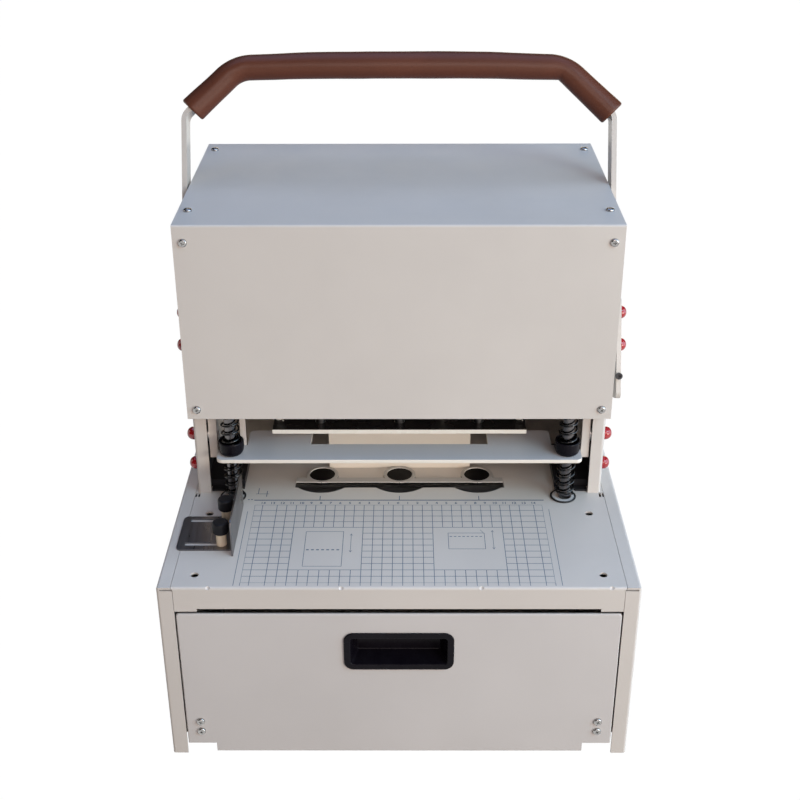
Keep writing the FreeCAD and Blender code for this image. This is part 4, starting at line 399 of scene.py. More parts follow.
def make_plastic(name, tint, roughness, grain, depth, coat=0.0, shine=0.5):
    """Moulded plastic or rubber; grain and depth are those of its texture."""
    plastic = Finish(name, {"Coat Weight": coat, "Coat Roughness": 0.05, "Specular IOR Level": shine})
    texture = plastic.noise(grain, 2)
    paler = tuple(c * 1.25 + 0.002 for c in tint)
    plastic.wear({
        "Base Color": plastic.blend(tint, paler, plastic.between(0, 1, plastic.noise(60, 3))),
        "Roughness": plastic.between(roughness - 0.05, roughness + 0.06, plastic.noise(90, 2)),
        "Normal": plastic.bump(texture, depth, 0.5),
    })
    return plastic.material


def make_foam(name, tint):
    foam = Finish(name, {"Specular IOR Level": 0.30})
    cells = foam.node("ShaderNodeTexVoronoi", {"feature": "SMOOTH_F1"},
                      {"Vector": foam.place, "Scale": CELL_SCALE})
    fine = foam.noise(SKIN_SCALE, 2)
    blotch = foam.noise(BLOTCH_SCALE, 3)
    paler = tuple(c * 1.22 for c in tint)
    darker = tuple(c * 0.78 for c in tint)
    body = foam.blend(tint, paler, foam.between(0, 1, blotch))
    foam.wear({
        "Base Color": foam.blend(body, darker, foam.between(0, 0.55, cells)),
        "Roughness": foam.between(0.36, 0.46, fine),
        "Normal": foam.bump(fine * 0.4 - cells, CELL_DEPTH, 0.5),
    })
    return foam.material


dome_red = make_plastic("dome_red", (0.33, 0.007, 0.010), 0.12, 300, 0.00001, coat=0.6)
pull_black = make_plastic("pull_black", (0.004, 0.003, 0.005), 0.26, 1500, 0.00003, shine=0.10)
pad_nylon = make_plastic("pad_nylon", (0.004, 0.003, 0.003), 0.6, 900, 0.00005, shine=0.12)
knob_black = make_plastic("knob_black", (0.004, 0.003, 0.005), 0.26, 900, 0.00002, shine=0.12)
clamp_black = make_plastic("clamp_black", (0.005, 0.005, 0.007), 0.46, 900, 0.00003, shine=0.3)
ring_rubber = make_plastic("ring_rubber", (0.012, 0.012, 0.012), 0.55, 700, 0.00004)
washer_plastic = make_plastic("washer_plastic", colour(186, 184, 182), 0.42, 500, 0.00002)
foam_brown = make_foam("foam_brown", colour(90, 48, 31))
table_ink = make_plastic("table_ink", colour(76, 94, 112), 0.5, 900, 0.00001)
print("plastics, rubber and foam")

# %% [markdown]
# ## A finish for every solid
# Each solid keeps its shape and place and only has its material slots filled.  A table from finish
# to node names is the clearest way, because a missing name stands out at once.

# %% Finishes on the solids
FINISHES = {
    cabinet_paint: ["side_panel_right", "side_panel_left", "frame_side_right", "frame_side_left",
                    "bearing_plate_right", "bearing_plate_left", "base_rear_panel", "base_floor",
                    "head_cover", "rear_cover", "press_indicator"],
    inner_painted_shade: ["table_rails"],
    drawer_paint: ["drawer_front", "drawer_tray"],
    gauge_cream_with_painted_light: ["back_gauge"],
    table_paint: ["table_plate"],
    plate_lit_front_shaded_top: ["press_plate"],
    arm_paint: ["lever_arms", "lever_side_plate"],
    cream_sleeve: ["clamp_sleeves"],
    holder_paint_with_lit_edge: ["pad_holder"],
    ground_steel: ["anvil_beam", "tie_bar", "cross_shaft", "drawer_runners", "drawer_slides",
                   "frame_spacers"],
    punch_steel: ["punches"],
    cast_steel: ["pinions", "racks", "rod_nuts"],
    brushed_stainless_painted_shade: ["paper_stop"],
    guide_strip_lit_edge_shaded_top: ["guide_plate"],
    rod_chrome_painted_shade: ["guide_rods"],
    spring_wire: ["lower_springs", "upper_springs"],
    small_wire: ["guide_springs", "guide_studs"],
    zinc_plate: ["cover_screws", "drawer_screws"],
    oiled_bronze: ["shaft_bushes", "rod_bushes"],
    black_oxide: ["foot_bracket_right", "foot_bracket_left", "stop_screw", "pad_set_screws",
                  "crosshead"],
    knob_black: ["rod_knobs"],
    clamp_black: ["clamp_knob_front", "clamp_knob_rear"],
    pad_nylon: ["cutting_pads"],
    pull_black: ["drawer_pull"],
    dome_red: ["frame_domed_bolts", "arm_domed_bolts"],
    ring_rubber: ["loose_rings"],
    washer_plastic: ["spring_seats"],
    foam_brown: ["foam_grip"],
}


def paint_solid(name, material):
    slots = nodes[name].data.materials
    slots.clear()
    slots.append(material)


for material, names in FINISHES.items():
    for name in names:
        paint_solid(name, material)
print(sum(map(len, FINISHES.values())), "of", len(nodes), "solids have a finish")

# %% [markdown]
# ## Tools for modelling
# Every new piece below is made as by hand: a primitive is added, faces or edges are selected, an
# operator works on them, and modifiers finish the shape.  Small helpers keep the cells short.  One
# leaves only the wanted object selected, because operators act on all that is selected.  One
# selects faces, edges or points by a test on their place.

# %% Shaping helpers
UPRIGHT, CLOSE = 0.9, 0.01 * MM
SHARP_EDGE = math.radians(40)


def only(*pieces):
    """Leaves just these objects selected, and the first of them active."""
    if bpy.context.mode != "OBJECT":
        bpy.ops.object.mode_set(mode="OBJECT")
    bpy.ops.object.select_all(action="DESELECT")
    for piece in pieces:
        piece.select_set(True)
    bpy.context.view_layer.objects.active = pieces[0]


def start(name):
    """Takes the primitive that was just added and opens it for editing."""
    piece = bpy.context.object
    piece.name = piece.data.name = name
    only(piece)
    bpy.ops.object.transform_apply(location=True, rotation=True, scale=True)
    bpy.ops.object.mode_set(mode="EDIT")
    return piece


def pick(piece, kind, test):
    """Selects each face, edge or point whose middle and direction pass a test."""
    bpy.ops.mesh.select_mode(type=kind)
    bpy.ops.mesh.select_all(action="DESELECT")
    bpy.ops.object.mode_set(mode="OBJECT")
    points = piece.data.vertices
    if kind == "VERT":
        chosen = [(point, point.co, point.normal) for point in points]
    elif kind == "FACE":
        chosen = [(face, face.center, face.normal) for face in piece.data.polygons]
    else:
        ends = [(edge, *(points[index].co for index in edge.vertices)) for edge in piece.data.edges]
        chosen = [(edge, (a + b) / 2, (b - a).normalized()) for edge, a, b in ends]
    for element, middle, direction in chosen:
        element.select = bool(test(middle, direction))
    bpy.ops.object.mode_set(mode="EDIT")


def extrude(move):
    bpy.ops.mesh.extrude_region_move(TRANSFORM_OT_translate={"value": move})


def modify(piece, kind, **settings):
    """Adds a modifier and applies it at once."""
    only(piece)
    modifier = piece.modifiers.new(kind.lower(), kind)
    for name, value in settings.items():
        setattr(modifier, name, value)
    bpy.ops.object.modifier_apply(modifier=modifier.name)


def outward(piece):
    """Turns all faces outwards."""
    only(piece)
    bpy.ops.object.mode_set(mode="EDIT")
    bpy.ops.mesh.select_all(action="SELECT")
    bpy.ops.mesh.normals_make_consistent(inside=False)
    bpy.ops.object.mode_set(mode="OBJECT")


print("shaping helpers are ready")

# %% [markdown]
# The next helpers put pieces together.  The last of them closes the work on a piece: it gives it
# its finish and its place in the machine, and its weighted normals let a large flat face stay flat
# beside the narrow bevel round it.

# %% Finishing helpers
def joined(name, pieces):
    """Makes one object of several."""
    only(*pieces)
    bpy.ops.object.join()
    pieces[0].name = pieces[0].data.name = name
    return pieces[0]


def copy_to(piece, place):
    """A copy with its own mesh, moved."""
    twin = bpy.data.objects.new(piece.name, piece.data.copy())
    bpy.context.scene.collection.objects.link(twin)
    twin.location = place
    only(twin)
    bpy.ops.object.transform_apply(location=True, rotation=True, scale=True)
    return twin


def complete(piece, material, body, replaces=(), smooth=35):
    """Puts the piece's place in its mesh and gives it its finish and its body."""
    only(piece)
    bpy.ops.object.transform_apply(location=True, rotation=True, scale=True)
    bpy.ops.object.shade_smooth_by_angle(angle=math.radians(smooth))
    modify(piece, "WEIGHTED_NORMAL", keep_sharp=True, weight=100)
    piece.data.materials.clear()
    piece.data.materials.append(material)
    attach(piece, body)
    if replaces:
        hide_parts(*replaces)
    print(piece.name, len(piece.data.polygons), "faces")
    return piece


print("finishing helpers are ready")

# %% [markdown]
# ## Edges that catch the light
# A cut sheet is brushed along its edges before it is painted, so no edge is truly sharp, and the
# thin bright line along it is what makes a sheet look like steel.  The solids have sharp edges.  For
# each sheet that is seen, a copy is merged and its flat triangles are dissolved into whole faces.

# %% Merged copies
TOUCHING, FLAT = 0.001 * MM, math.radians(1)


def merged_copy(name, ending):
    """A copy of a solid's mesh in which the loose triangles are joined and flat ones dissolved."""
    twin = bpy.data.objects.new(name + ending, nodes[name].data.copy())
    bpy.context.scene.collection.objects.link(twin)
    only(twin)
    bpy.ops.mesh.customdata_custom_splitnormals_clear()
    bpy.ops.object.mode_set(mode="EDIT")
    bpy.ops.mesh.select_all(action="SELECT")
    bpy.ops.mesh.remove_doubles(threshold=TOUCHING)
    bpy.ops.mesh.dissolve_limited(angle_limit=FLAT)
    only(twin)
    return twin


print("solids can be copied")

# %% [markdown]
# Every sharp edge of such a copy gets a small bevel.  The solid is left alone, and its softened
# copy replaces it.  The drawer's front is made a little wider, as it sits close to the cabinet.

# %% Softened sheets
SOFT_EDGES = [  # body, slot, width of the bevel in millimetres, nodes
    ("frame", "beige_paint", 0.35, ["head_cover", "rear_cover", "back_gauge", "frame_side_right",
                                    "frame_side_left", "bearing_plate_right", "bearing_plate_left"]),
    ("frame", "steel", 0.8, ["pad_holder"]),
    ("frame", "black_steel", 0.6, ["foot_bracket_right", "foot_bracket_left"]),
    ("drawer", "beige_paint", 0.25, ["drawer_front"]),
    ("lever", "lever_paint", 0.7, ["lever_arms", "lever_side_plate"]),
    ("press_plate", "pale_plate", 0.5, ["press_plate"]),
    ("guide_plate", "bright_steel", 0.4, ["guide_plate"]),
    ("crosshead", "steel", 0.6, ["crosshead"]),
    ("paper_stop", "bright_steel", 0.3, ["paper_stop"]),
]
DRAWER_SIDES, DRAWER_WIDER = 185, 1.3


def soften(name, width):
    """A copy of a solid's mesh with its sharp edges rounded off."""
    sheet = merged_copy(name, "_soft")
    modify(sheet, "BEVEL", width=width * MM, segments=2, limit_method="ANGLE",
           angle_limit=SHARP_EDGE)
    return sheet


def widen(sheet, half, extra):
    """Moves all that lies beyond a distance from the middle outwards."""
    for point in sheet.data.vertices:
        if abs(point.co.x) > half * MM:
            point.co.x += math.copysign(extra * MM, point.co.x)


for body, slot, width, names in SOFT_EDGES:
    for name in names:
        sheet = soften(name, width)
        if name == "drawer_front":
            widen(sheet, DRAWER_SIDES, DRAWER_WIDER)
        complete(sheet, nodes[name].data.materials[0], body, [name])

# %% [markdown]
# ## Darts in the table's fold
# A long fold in thin sheet is stiffened by darts: the press pushes a small three-cornered dent into
# the outside of the bend.  The table has four along its front.  A ball set just outside the fold and
# taken away from the sheet leaves such a dent, deeper in the middle and fading out at both ends.

# %% Table with darts
TABLE_TOP = Vector(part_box("table_plate")[1]).z
TABLE_FRONT = Vector(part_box("table_plate")[0]).y
DARTS, DART_RADIUS, DART_OUTSIDE, DART_NARROW = (-173, -52, 75, 193), 4 * MM, 1.9 * MM, 0.8


def press_darts(sheet):
    out = DART_OUTSIDE / math.sqrt(2)
    for x in DARTS:
        bpy.ops.mesh.primitive_uv_sphere_add(
            segments=24, ring_count=16, radius=DART_RADIUS,
            location=(x * MM, TABLE_FRONT - out, TABLE_TOP + out), rotation=(math.radians(45), 0, 0))
        ball = start("ball")
        bpy.ops.mesh.select_all(action="SELECT")
        bpy.ops.transform.resize(value=(DART_NARROW, 1, 1), center_override=(x * MM, 0, 0))
        only(ball)
        modify(sheet, "BOOLEAN", object=ball, operation="DIFFERENCE", solver="EXACT")
        bpy.data.objects.remove(ball)
    return sheet


table_sheet = press_darts(soften("table_plate", 0.3))
complete(table_sheet, table_paint, "frame", ["table_plate"])

# %% [markdown]
# ## Springs
# A coil spring stands between two pieces that come together when the lever is pulled.  Its solid
# can't shorten, so it would run through its neighbour.  Each spring is copied, and the copy goes
# with the piece that carries it.

# %% Springs
HEAD_TRAVEL, GUIDE_TRAVEL, PRESS_TRAVEL = 60 * MM, 41 * MM, 32 * MM
SPRINGS = [  # node, the body that it stands on, how much shorter it gets
    ("lower_springs", "frame", PRESS_TRAVEL),
    ("upper_springs", "press_plate", HEAD_TRAVEL - PRESS_TRAVEL),
    ("guide_springs", "guide_plate", HEAD_TRAVEL - GUIDE_TRAVEL),
]
for name, body, shortening in SPRINGS:
    coils = merged_copy(name, "_coils")
    complete(coils, nodes[name].data.materials[0], body, [name], 60)
    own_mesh(coils)

# %% [markdown]
# ## Foam sleeve
# The handle is a flat bar bent like a wide bracket, and a tube of soft foam was pushed over its
# middle.  A curve with a bevel would give the tube, but its bends could not be shaped.  Here a
# circle is extruded along the first slant and spun round both bends, so each bend has rings of
# points.  Foam folds on the inside of a bend: at the right one, where the sleeve was pushed
# furthest, the inner points are drawn out to a crease.  It is all made in the lever's own upright
# plane and then leaned back about the shaft.

# %% Foam sleeve
PIVOT = Vector((0, 0, 357)) * MM
LEVER = Matrix.Translation(PIVOT) @ Matrix.Rotation(math.radians(-24), 4, "X")
GRIP_RADIUS, GRIP_BEND, GRIP_REACH = 13 * MM, 34 * MM, 257.4 * MM
GRIP_HALF, ARM_X = 160 * MM, 209.5 * MM
GRIP_END_LEFT, GRIP_END_RIGHT = 9.4 * MM, 4.2 * MM
SLANT = math.radians(45)
BEND_RINGS, STRAIGHT_RINGS, SLANT_RINGS = 12, 24, 6
CREASE_REACH = 1.1  # of the bend's outer radius


def make_foam_sleeve():
    up_slant = Vector((math.cos(SLANT), 0, math.sin(SLANT)))
    down_slant = Vector((math.cos(SLANT), 0, -math.sin(SLANT)))
    rise = ARM_X - GRIP_HALF
    first = Vector((-ARM_X, 0, GRIP_REACH - rise)) + up_slant * GRIP_END_LEFT
    tangent = GRIP_BEND * math.tan(SLANT / 2)
    slant = rise / math.sin(SLANT) - tangent
    straight = 2 * (GRIP_HALF - tangent)
    bpy.ops.mesh.primitive_circle_add(vertices=48, radius=GRIP_RADIUS, location=first,
                                      rotation=(0, SLANT, 0))
    sleeve = start("foam_sleeve")
    bpy.ops.mesh.select_all(action="SELECT")
    for step in range(SLANT_RINGS):
        extrude(up_slant * (slant - GRIP_END_LEFT) / SLANT_RINGS)
    middle = Vector((tangent - GRIP_HALF, 0, GRIP_REACH - GRIP_BEND))
    bpy.ops.mesh.spin(steps=BEND_RINGS, angle=-SLANT, center=middle, axis=(0, 1, 0))
    for step in range(STRAIGHT_RINGS):
        extrude(Vector((straight / STRAIGHT_RINGS, 0, 0)))
    middle.x = -middle.x
    bpy.ops.mesh.spin(steps=BEND_RINGS, angle=-SLANT, center=middle, axis=(0, 1, 0))
    for step in range(SLANT_RINGS):
        extrude(down_slant * (slant - GRIP_END_RIGHT) / SLANT_RINGS)
    bpy.ops.mesh.select_all(action="SELECT")
    bpy.ops.mesh.remove_doubles(threshold=CLOSE)
    return sleeve, middle


def crease(sleeve, middle):
    """Draws the inner points of a bend out to where its two tangent lines meet."""
    only(sleeve)
    inner, outer = GRIP_BEND - GRIP_RADIUS, GRIP_BEND + GRIP_RADIUS
    for point in sleeve.data.vertices:
        away = Vector((point.co.x - middle.x, 0, point.co.z - middle.z))
        angle = math.atan2(away.x, away.z)
        if 0 < angle < SLANT and away.length < CREASE_REACH * outer:
            corner = inner / math.cos(min(angle, SLANT - angle)) - inner
            share = max(0, (outer - away.length) / (outer - inner)) ** 2
            point.co += away.normalized() * corner * share


foam_sleeve, right_bend = make_foam_sleeve()
crease(foam_sleeve, right_bend)
print("the sleeve has", len(foam_sleeve.data.vertices), "points")

# %% [markdown]
# The tube was cut with a knife, which leaves a rim that is a little rounded and an end face that
# dips towards the bar.  Each end is filled and its rim bevelled; an inset pushed in makes the dip.

# %% Sleeve ends
RIM, END_INSET, END_DIP = 1.8 * MM, 4 * MM, 0.9 * MM


def close_end(sleeve, sign):
    """Fills one open end, rounds its rim and dips its middle."""
    slope = Vector((sign * math.cos(SLANT), 0, -math.sin(SLANT)))
    tip = max(point.co.dot(slope) for point in sleeve.data.vertices if sign * point.co.x > 0)

    def at_end(middle, normal):
        return sign * middle.x > 0 and tip - middle.dot(slope) < CLOSE

    only(sleeve)
    bpy.ops.object.mode_set(mode="EDIT")
    pick(sleeve, "VERT", at_end)
    bpy.ops.mesh.edge_face_add()
    outward(sleeve)
    bpy.ops.object.mode_set(mode="EDIT")
    pick(sleeve, "FACE", at_end)
    bpy.ops.mesh.bevel(offset=RIM, segments=4, affect="EDGES")
    pick(sleeve, "FACE", at_end)
    bpy.ops.mesh.inset(thickness=END_INSET, depth=-END_DIP)
    only(sleeve)


close_end(foam_sleeve, -1)
close_end(foam_sleeve, 1)
outward(foam_sleeve)
print("both ends are closed")

# %% [markdown]
# The sleeve was pushed on over the bends.  There it is pulled inwards and stretched thin on the
# outside, and near its cut ends it has swollen again.  It also sits a little to the right.  Each
# point is moved by how near it is to a bend and by how far it faces away from it.

# %% Sleeve as it sits
PULLED, THINNED, PULL_REACH = 1.9 * MM, 1.8 * MM, 58 * MM
SWOLLEN, SHIFTED, SHIFT_FROM, SHIFT_SPAN = 0.05, 2.4 * MM, 60 * MM, 90 * MM


def settle(sleeve):
    only(sleeve)
    inward = Vector((-math.sin(SLANT / 2), 0, -math.cos(SLANT / 2)))
    normals = [point.normal.copy() for point in sleeve.data.vertices]
    for point, normal in zip(sleeve.data.vertices, normals):
        side = math.copysign(1, point.co.x)
        from_bend = Vector((abs(point.co.x) - GRIP_HALF, 0, point.co.z - GRIP_REACH))
        near = math.exp(-(from_bend.length / PULL_REACH) ** 2)
        away = max(0, -(side * normal.x * inward.x + normal.z * inward.z))
        move = inward * near * (PULLED + THINNED * away)
        end = min(1, max(0, abs(point.co.x) - GRIP_HALF) / (ARM_X - GRIP_HALF))
        share = min(1, max(0, point.co.x - SHIFT_FROM) / SHIFT_SPAN)
        swell = normal * SWOLLEN * GRIP_RADIUS * end ** 2
        shift = Vector((SHIFTED * share ** 2 * (3 - 2 * share), 0, 0))
        point.co += Vector((side * move.x, 0, move.z)) + swell + shift


settle(foam_sleeve)
print("the sleeve is", round(foam_sleeve.dimensions.x / MM, 1), "mm wide")

# %% [markdown]
# A weak cloud moves the skin by a fraction of a millimetre, as foam is never even, and the whole
# sleeve leans back with the lever.

# %% Skin of the sleeve
CLOUD_SIZE, UNEVEN = 30 * MM, 0.7 * MM
cloud = bpy.data.textures.new("foam_cloud", "CLOUDS")
cloud.noise_scale = CLOUD_SIZE
modify(foam_sleeve, "DISPLACE", texture=cloud, strength=UNEVEN, mid_level=0.5)
foam_sleeve.matrix_world = LEVER
complete(foam_sleeve, foam_brown, "lever", ["foam_grip"], 50)

# %% [markdown]
# ## Where the solids of a node are
# Screws, bolts and washers come in groups, and one node holds a whole group.  To put a detailed
# piece on each of them, a copy of the node's mesh is merged and its islands are measured.  Typing
# the places in would also work, but they would go wrong when the machine's size changes.

# %% Solids of a node
def solids_of(name):
    """The two corners of the box round each separate solid in a node."""
    shape = bmesh.new()
    shape.from_mesh(nodes[name].data)
    bmesh.ops.remove_doubles(shape, verts=shape.verts, dist=TOUCHING)
    seen, boxes = set(), []
    for first in shape.verts:
        if first in seen:
            continue
        seen.add(first)
        queue, places = [first], []
        while queue:
            point = queue.pop()
            places.append(point.co.copy())
            for other in (edge.other_vert(point) for edge in point.link_edges):
                if other not in seen:
                    seen.add(other)
                    queue.append(other)
        low = Vector(min(place[axis] for place in places) for axis in range(3))
        high = Vector(max(place[axis] for place in places) for axis in range(3))
        boxes.append((low, high))
    shape.free()
    return boxes


print(len(solids_of("cover_screws")), "cover screws")

# %% [markdown]
# ## Cross-head screws
# The head cover and the drawer front are held by pan-head screws with a cross recess.  A cylinder
# with a bevelled rim gives the pan head, an inset and an extrusion give the shank, and two crossed
# wedges taken away leave the recess.  One screw is modelled lying on its back and copied to every
# place; a small turn makes each recess sit as the screwdriver left it.

# %% Screws
HEAD_RADIUS, HEAD_HEIGHT, SHANK_RADIUS, SHANK_LENGTH = 4 * MM, 2.4 * MM, 2 * MM, 7 * MM
HEAD_ROUND, RECESS, RECESS_TAPER = 1.5 * MM, (4.6 * MM, 0.95 * MM, 3 * MM), 0.45
FIRST_SPIN, NEXT_SPIN = 0.3, 0.9


def make_screw():
    """A screw that points down, with its head above the ground plane."""
    bpy.ops.mesh.primitive_cylinder_add(vertices=32, radius=HEAD_RADIUS, depth=HEAD_HEIGHT,
                                        location=(0, 0, HEAD_HEIGHT / 2))
    screw = start("screw")
    pick(screw, "FACE", lambda middle, normal: normal.z < -UPRIGHT)
    bpy.ops.mesh.inset(thickness=HEAD_RADIUS - SHANK_RADIUS)
    extrude(Vector((0, 0, -SHANK_LENGTH)))
    pick(screw, "FACE", lambda middle, normal: normal.z > UPRIGHT)
    bpy.ops.mesh.bevel(offset=HEAD_ROUND, segments=5, affect="EDGES")
    only(screw)
    for turn in (0, math.pi / 2):
        bpy.ops.mesh.primitive_cube_add(size=1, location=(0, 0, HEAD_HEIGHT), rotation=(0, 0, turn),
                                        scale=RECESS)
        wedge = start("wedge")
        pick(wedge, "VERT", lambda middle, normal: middle.z < HEAD_HEIGHT)
        bpy.ops.transform.resize(value=(RECESS_TAPER, RECESS_TAPER, 1),
                                 center_override=(0, 0, HEAD_HEIGHT))
        only(wedge)
        modify(screw, "BOOLEAN", object=wedge, operation="DIFFERENCE", solver="EXACT")
        bpy.data.objects.remove(wedge)
    return screw


def place_screws(name, replaced, body):
    """A screw for each solid of a node, with its head outermost, upwards or to the front."""
    placed = []
    for index, (low, high) in enumerate(solids_of(replaced)):
        middle, size = (low + high) / 2, high - low
        spin = Matrix.Rotation(FIRST_SPIN + NEXT_SPIN * index, 4, "Z")
        if size.z > size.y:
            place = Matrix.Translation((middle.x, middle.y, high.z - HEAD_HEIGHT))
        else:
            place = Matrix.Translation((middle.x, low.y + HEAD_HEIGHT, middle.z))
            place @= Matrix.Rotation(math.radians(90), 4, "X")
        twin = copy_to(screw, (0, 0, 0))
        twin.data.transform(place @ spin)
        placed.append(twin)
    return complete(joined(name, placed), zinc_plate, body, [replaced], 30)


screw = make_screw()
place_screws("cover_screw_heads", "cover_screws", "frame")
place_screws("drawer_screw_heads", "drawer_screws", "drawer")
bpy.data.objects.remove(screw)

# %% [markdown]
# ## Turned knobs
# The guide rods carry black knobs shaped like small cups, in which the upper springs stand, and the
# paper stop is clamped with two plain ones.  Such pieces are turned or moulded, so they are made
# like on a lathe: a circle is extruded from one point of the profile to the next and resized there.
# The cups are turned by hand, so their rims are knurled.

# %% Knobs
ROD_KNOB = [(8.8, 0), (10.2, 0.4), (11.3, 1.6), (12.1, 3.6), (12.65, 6.4), (12.65, 12.9), (12.4, 14.0),
            (11.8, 14.5), (11.1, 14.4), (10.6, 13.7), (10.4, 12.1), (10.3, 8.2), (9.9, 7.9), (6.5, 7.9),
            (6.25, 7.6), (6.25, 0.3), (6.6, 0), (8.8, 0)]
CLAMP_KNOB = [(6.6, 0), (7.3, 0.3), (7.7, 1.1), (7.75, 2.4), (7.75, 9.2), (7.55, 10.6), (7.0, 11.5),
              (6.0, 11.95), (4.6, 12)]
KNOB_COLUMNS, KNURL_FROM, KNURL_DEPTH = 64, 12.45 * MM, 0.35 * MM


def turned(name, profile, fill):
    """A profile of radii and heights in millimetres, turned about the upright axis."""
    bpy.ops.mesh.primitive_circle_add(vertices=KNOB_COLUMNS, radius=profile[0][0] * MM, fill_type=fill,
                                      location=(0, 0, profile[0][1] * MM))
    piece = start(name)
    bpy.ops.mesh.select_all(action="SELECT")
    for (radius, height), (next_radius, next_height) in zip(profile, profile[1:]):
        extrude(Vector((0, 0, (next_height - height) * MM)))
        share = next_radius / radius
        bpy.ops.transform.resize(value=(share, share, 1), center_override=(0, 0, next_height * MM))
    bpy.ops.mesh.select_all(action="SELECT")
    bpy.ops.mesh.remove_doubles(threshold=CLOSE)
    outward(piece)
    return piece


def place_knobs(name, knob, replaced, body):
    """A knob for each solid of a node, standing on the solid's underside."""
    placed = []
    for low, high in solids_of(replaced):
        placed.append(copy_to(knob, ((low.x + high.x) / 2, (low.y + high.y) / 2, low.z)))
    finish = nodes[replaced].data.materials[0]
    return complete(joined(name, placed), finish, body, [replaced], 50)


def knurl(knob):
    """Draws every other column of points on the rim a little inwards."""
    for point in knob.data.vertices:
        column = round(math.atan2(point.co.y, point.co.x) / (2 * math.pi / KNOB_COLUMNS))
        if column % 2 and point.co.xy.length > KNURL_FROM:
            point.co.xy = point.co.xy.normalized() * (point.co.xy.length - KNURL_DEPTH)


rod_knob = turned("rod_knob", ROD_KNOB, "NOTHING")
knurl(rod_knob)
place_knobs("rod_cup_knobs", rod_knob, "rod_knobs", "press_plate")
clamp_knob = turned("clamp_knob", CLAMP_KNOB, "NGON")
for place in ("front", "rear"):
    place_knobs(f"clamp_{place}_cap", clamp_knob, f"clamp_knob_{place}", f"clamp_knob_{place}")
bpy.data.objects.remove(rod_knob)
bpy.data.objects.remove(clamp_knob)

# %% [markdown]
# ## Moulded pull
# The drawer is opened with a black recessed pull: a flat bezel with round corners and a cup whose
# walls draw in towards the floor, as they must to leave the mould.  A cube is made into a bezel by
# bevelling its four long edges.  The front face is inset and pushed in for the cup, the rear face
# is inset and drawn out for the cup's outside, and the rims get a small radius.

# %% Drawer pull
def make_pull():
    low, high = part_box("drawer_pull")
    low, high = Vector(low), Vector(high)
    proud, bezel, wall, taper, corner, rim = 2 * MM, 4 * MM, 2 * MM, 7 * MM, 9 * MM, 0.9 * MM
    depth = high.y - low.y - proud
    bpy.ops.mesh.primitive_cube_add(
        size=1, location=((low.x + high.x) / 2, low.y + proud / 2, (low.z + high.z) / 2),
        scale=(high.x - low.x, proud, high.z - low.z))
    pull = start("moulded_pull")
    pick(pull, "EDGE", lambda middle, way: abs(way.y) > UPRIGHT)
    bpy.ops.mesh.bevel(offset=corner, segments=8, affect="EDGES")
    narrower = Vector((1 - 2 * taper / (high.x - low.x), 1, 1 - 2 * taper / (high.z - low.z)))
    centre = (low + high) / 2
    for sign, length in ((1, depth), (-1, depth - wall + proud)):
        pick(pull, "FACE", lambda middle, normal: sign * normal.y > UPRIGHT)
        bpy.ops.mesh.inset(thickness=bezel if sign > 0 else bezel + wall)
        extrude(Vector((0, length, 0)))
        bpy.ops.transform.resize(value=narrower, center_override=centre)
    only(pull)
    outward(pull)
    modify(pull, "BEVEL", width=rim, segments=3, limit_method="ANGLE",
           angle_limit=SHARP_EDGE)
    return pull


moulded_pull = make_pull()
complete(moulded_pull, pull_black, "drawer", ["drawer_pull"], 40)

# %% [markdown]
# ## Printed table
# The table carries a screen-printed centimetre grid on which papers are lined up, a ruler with its
# zero at the middle punch, and two plain fields with a sketch of an upright and of a sideways
# sheet.  A texture would need an image; lines of ink can be modelled.  A grid primitive has its
# columns moved to their places, each cell is inset, and the inner faces are deleted, which leaves
# the lines.  Ink is a few hundredths of a millimetre thick.

# %% Printed grid
INK, THICK_INK, LINE = 0.03 * MM, 0.039 * MM, 0.6 * MM
COLUMN, ROW, FIRST_COLUMN, FIRST_ROW = 9.66, 10.15, -122.0, 8.0
COLUMNS = [-144.5, -136.5, *(FIRST_COLUMN + COLUMN * index for index in range(26)), 134.0, 142.5]
ROWS = [FIRST_ROW + ROW * index for index in range(14)]
FIELDS = [(COLUMNS[4], COLUMNS[11]), (COLUMNS[18], COLUMNS[25])]
FIELD_ROWS = (ROWS[2], ROWS[9])


def on_table(x, setback):
    """A place on the table, from millimetres across and behind its front edge."""
    return Vector((x * MM, TABLE_FRONT + setback * MM, TABLE_TOP))


def make_grid_lines():
    bpy.ops.mesh.primitive_grid_add(x_subdivisions=len(COLUMNS) - 1, y_subdivisions=len(ROWS) - 1,
                                    size=1)
    lines = start("printed_grid")
    only(lines)
    for point in lines.data.vertices:
        column = round((point.co.x + 0.5) * (len(COLUMNS) - 1))
        row = round((point.co.y + 0.5) * (len(ROWS) - 1))
        point.co = on_table(COLUMNS[column], ROWS[row])
    bpy.ops.object.mode_set(mode="EDIT")
    bpy.ops.mesh.select_all(action="SELECT")
    bpy.ops.mesh.inset(thickness=LINE / 2, use_individual=True)
    bpy.ops.mesh.delete(type="FACE")
    for left, right in FIELDS:
        low, high = on_table(left + 1, FIELD_ROWS[0] + 1), on_table(right - 1, FIELD_ROWS[1] - 1)
        pick(lines, "FACE", lambda middle, normal: low.x < middle.x < high.x
             and low.y < middle.y < high.y)
        bpy.ops.mesh.delete(type="FACE")
    modify(lines, "SOLIDIFY", thickness=INK, offset=1)
    return lines


grid_lines = make_grid_lines()
print("the printed grid has", len(grid_lines.data.polygons), "faces")

# %% [markdown]
# Everything else in the print is a straight stroke: the ruler, its ticks, the frame beside the
# grid, the outlines of the two sheets and the rows of dashes that show where the rivets come.  One
# plane per stroke is added at its place and length, and all are given the thickness of the ink.

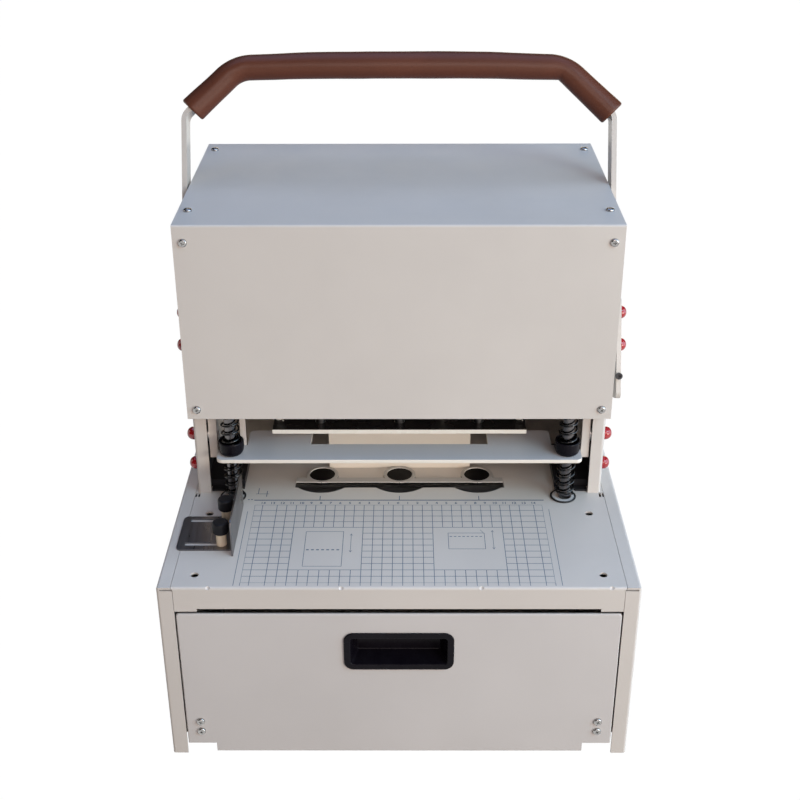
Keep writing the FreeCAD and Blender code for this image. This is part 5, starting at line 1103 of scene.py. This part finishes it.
# %% Printed strokes
def stroke(x, setback, x_end, setback_end, width=0.5):
    """A plane as long as the stroke, turned along it."""
    begin, end = on_table(x, setback), on_table(x_end, setback_end)
    along = end - begin
    bpy.ops.mesh.primitive_plane_add(size=1, location=(begin + end) / 2,
                                     rotation=(0, 0, math.atan2(along.y, along.x)))
    bpy.context.object.scale = (along.length, width * MM, 1)
    made = start("stroke")
    only(made)
    return made


def outline(left, right, near, far):
    """The four strokes round a sheet."""
    return [stroke(left, near, right, near), stroke(left, far, right, far),
            stroke(left, near, left, far), stroke(right, near, right, far)]


def dashes(x, setback, length, pitch, count, width):
    """A row of dashes of the same length."""
    return [stroke(x + pitch * step, setback, x + pitch * step + length, setback, width)
            for step in range(count)]


def arrow(x, near, far):
    """A size line with a head at each end."""
    heads = [stroke(x, end, x + side, end + way * 3, 0.4)
             for end, way in ((near, 1), (far, -1)) for side in (-1.2, 1.2)]
    return [stroke(x, near, x, far, 0.4), *heads]


RULER, FRAME_START = 149.0, 3.5
strokes = [stroke(-146, RULER, 145, RULER, 1.4)]
strokes += [stroke(x, RULER, x, RULER + 8, 0.8) for x in (-80, 0, 80)]
strokes += [stroke(x, FRAME_START, x, end) for x, end in ((-150.5, 128), (148.5, 132))]
strokes += [stroke(x, FRAME_START, x, ROWS[0]) for x in COLUMNS]
strokes += outline(-89.7, -53.6, 34, 92) + outline(47.2, 82, 62.5, 89.5)
strokes += [stroke(78.5, 95, 82, 88, 0.4)]
strokes += dashes(-88, 61, 2.6, 4.8, 7, 1.6) + dashes(48.5, 83.5, 2.4, 4.1, 8, 1.0)
strokes += arrow(-46, 57, 88) + arrow(90, 62, 94)
strokes += [stroke(-143.2, 161, -143.2, 172, 0.7), stroke(-145.6, 161, -132.4, 161, 0.6),
            stroke(-134.4, 155.5, -134.4, 166.5, 0.7)]
strokes += dashes(-152.6, 150.1, 1.8, 3.2, 2, 1.2)
print_strokes = joined("print_strokes", strokes)
modify(print_strokes, "SOLIDIFY", thickness=THICK_INK, offset=1)
print(len(strokes), "strokes")

# %% [markdown]
# The ruler is numbered in centimetres to both sides of the middle punch.  Text is made as a font
# object and turned into a mesh at once, because only a mesh can take its place and its thickness.

# %% Ruler numbers
DIGIT_SIZE, DIGIT_BOLDER = 5.0 * MM, 0.09 * MM
DIGIT_LEFT, DIGIT_DROP, LAST_NUMBER = 1.25, 5.5, 14


def number(value, x, setback):
    bpy.ops.object.text_add(location=on_table(x, setback))
    made = bpy.context.object
    made.data.body, made.data.size = str(value), DIGIT_SIZE
    made.data.offset = DIGIT_BOLDER
    made.data.align_x = made.data.align_y = "CENTER"
    only(made)
    bpy.ops.object.convert(target="MESH")
    made = bpy.context.object
    bpy.ops.object.transform_apply(location=True, rotation=True, scale=True)
    return made


ruler_numbers = joined("ruler_numbers", [
    number(abs(step), COLUMN * step - DIGIT_LEFT, RULER - DIGIT_DROP)
    for step in range(-LAST_NUMBER, LAST_NUMBER + 1)])
modify(ruler_numbers, "SOLIDIFY", thickness=THICK_INK, offset=1)
table_print = joined("table_print", [grid_lines, print_strokes, ruler_numbers])
complete(table_print, table_ink, "frame", smooth=10)

# %% [markdown]
# ## Finish

# %% Finish
print("the machine is dressed")
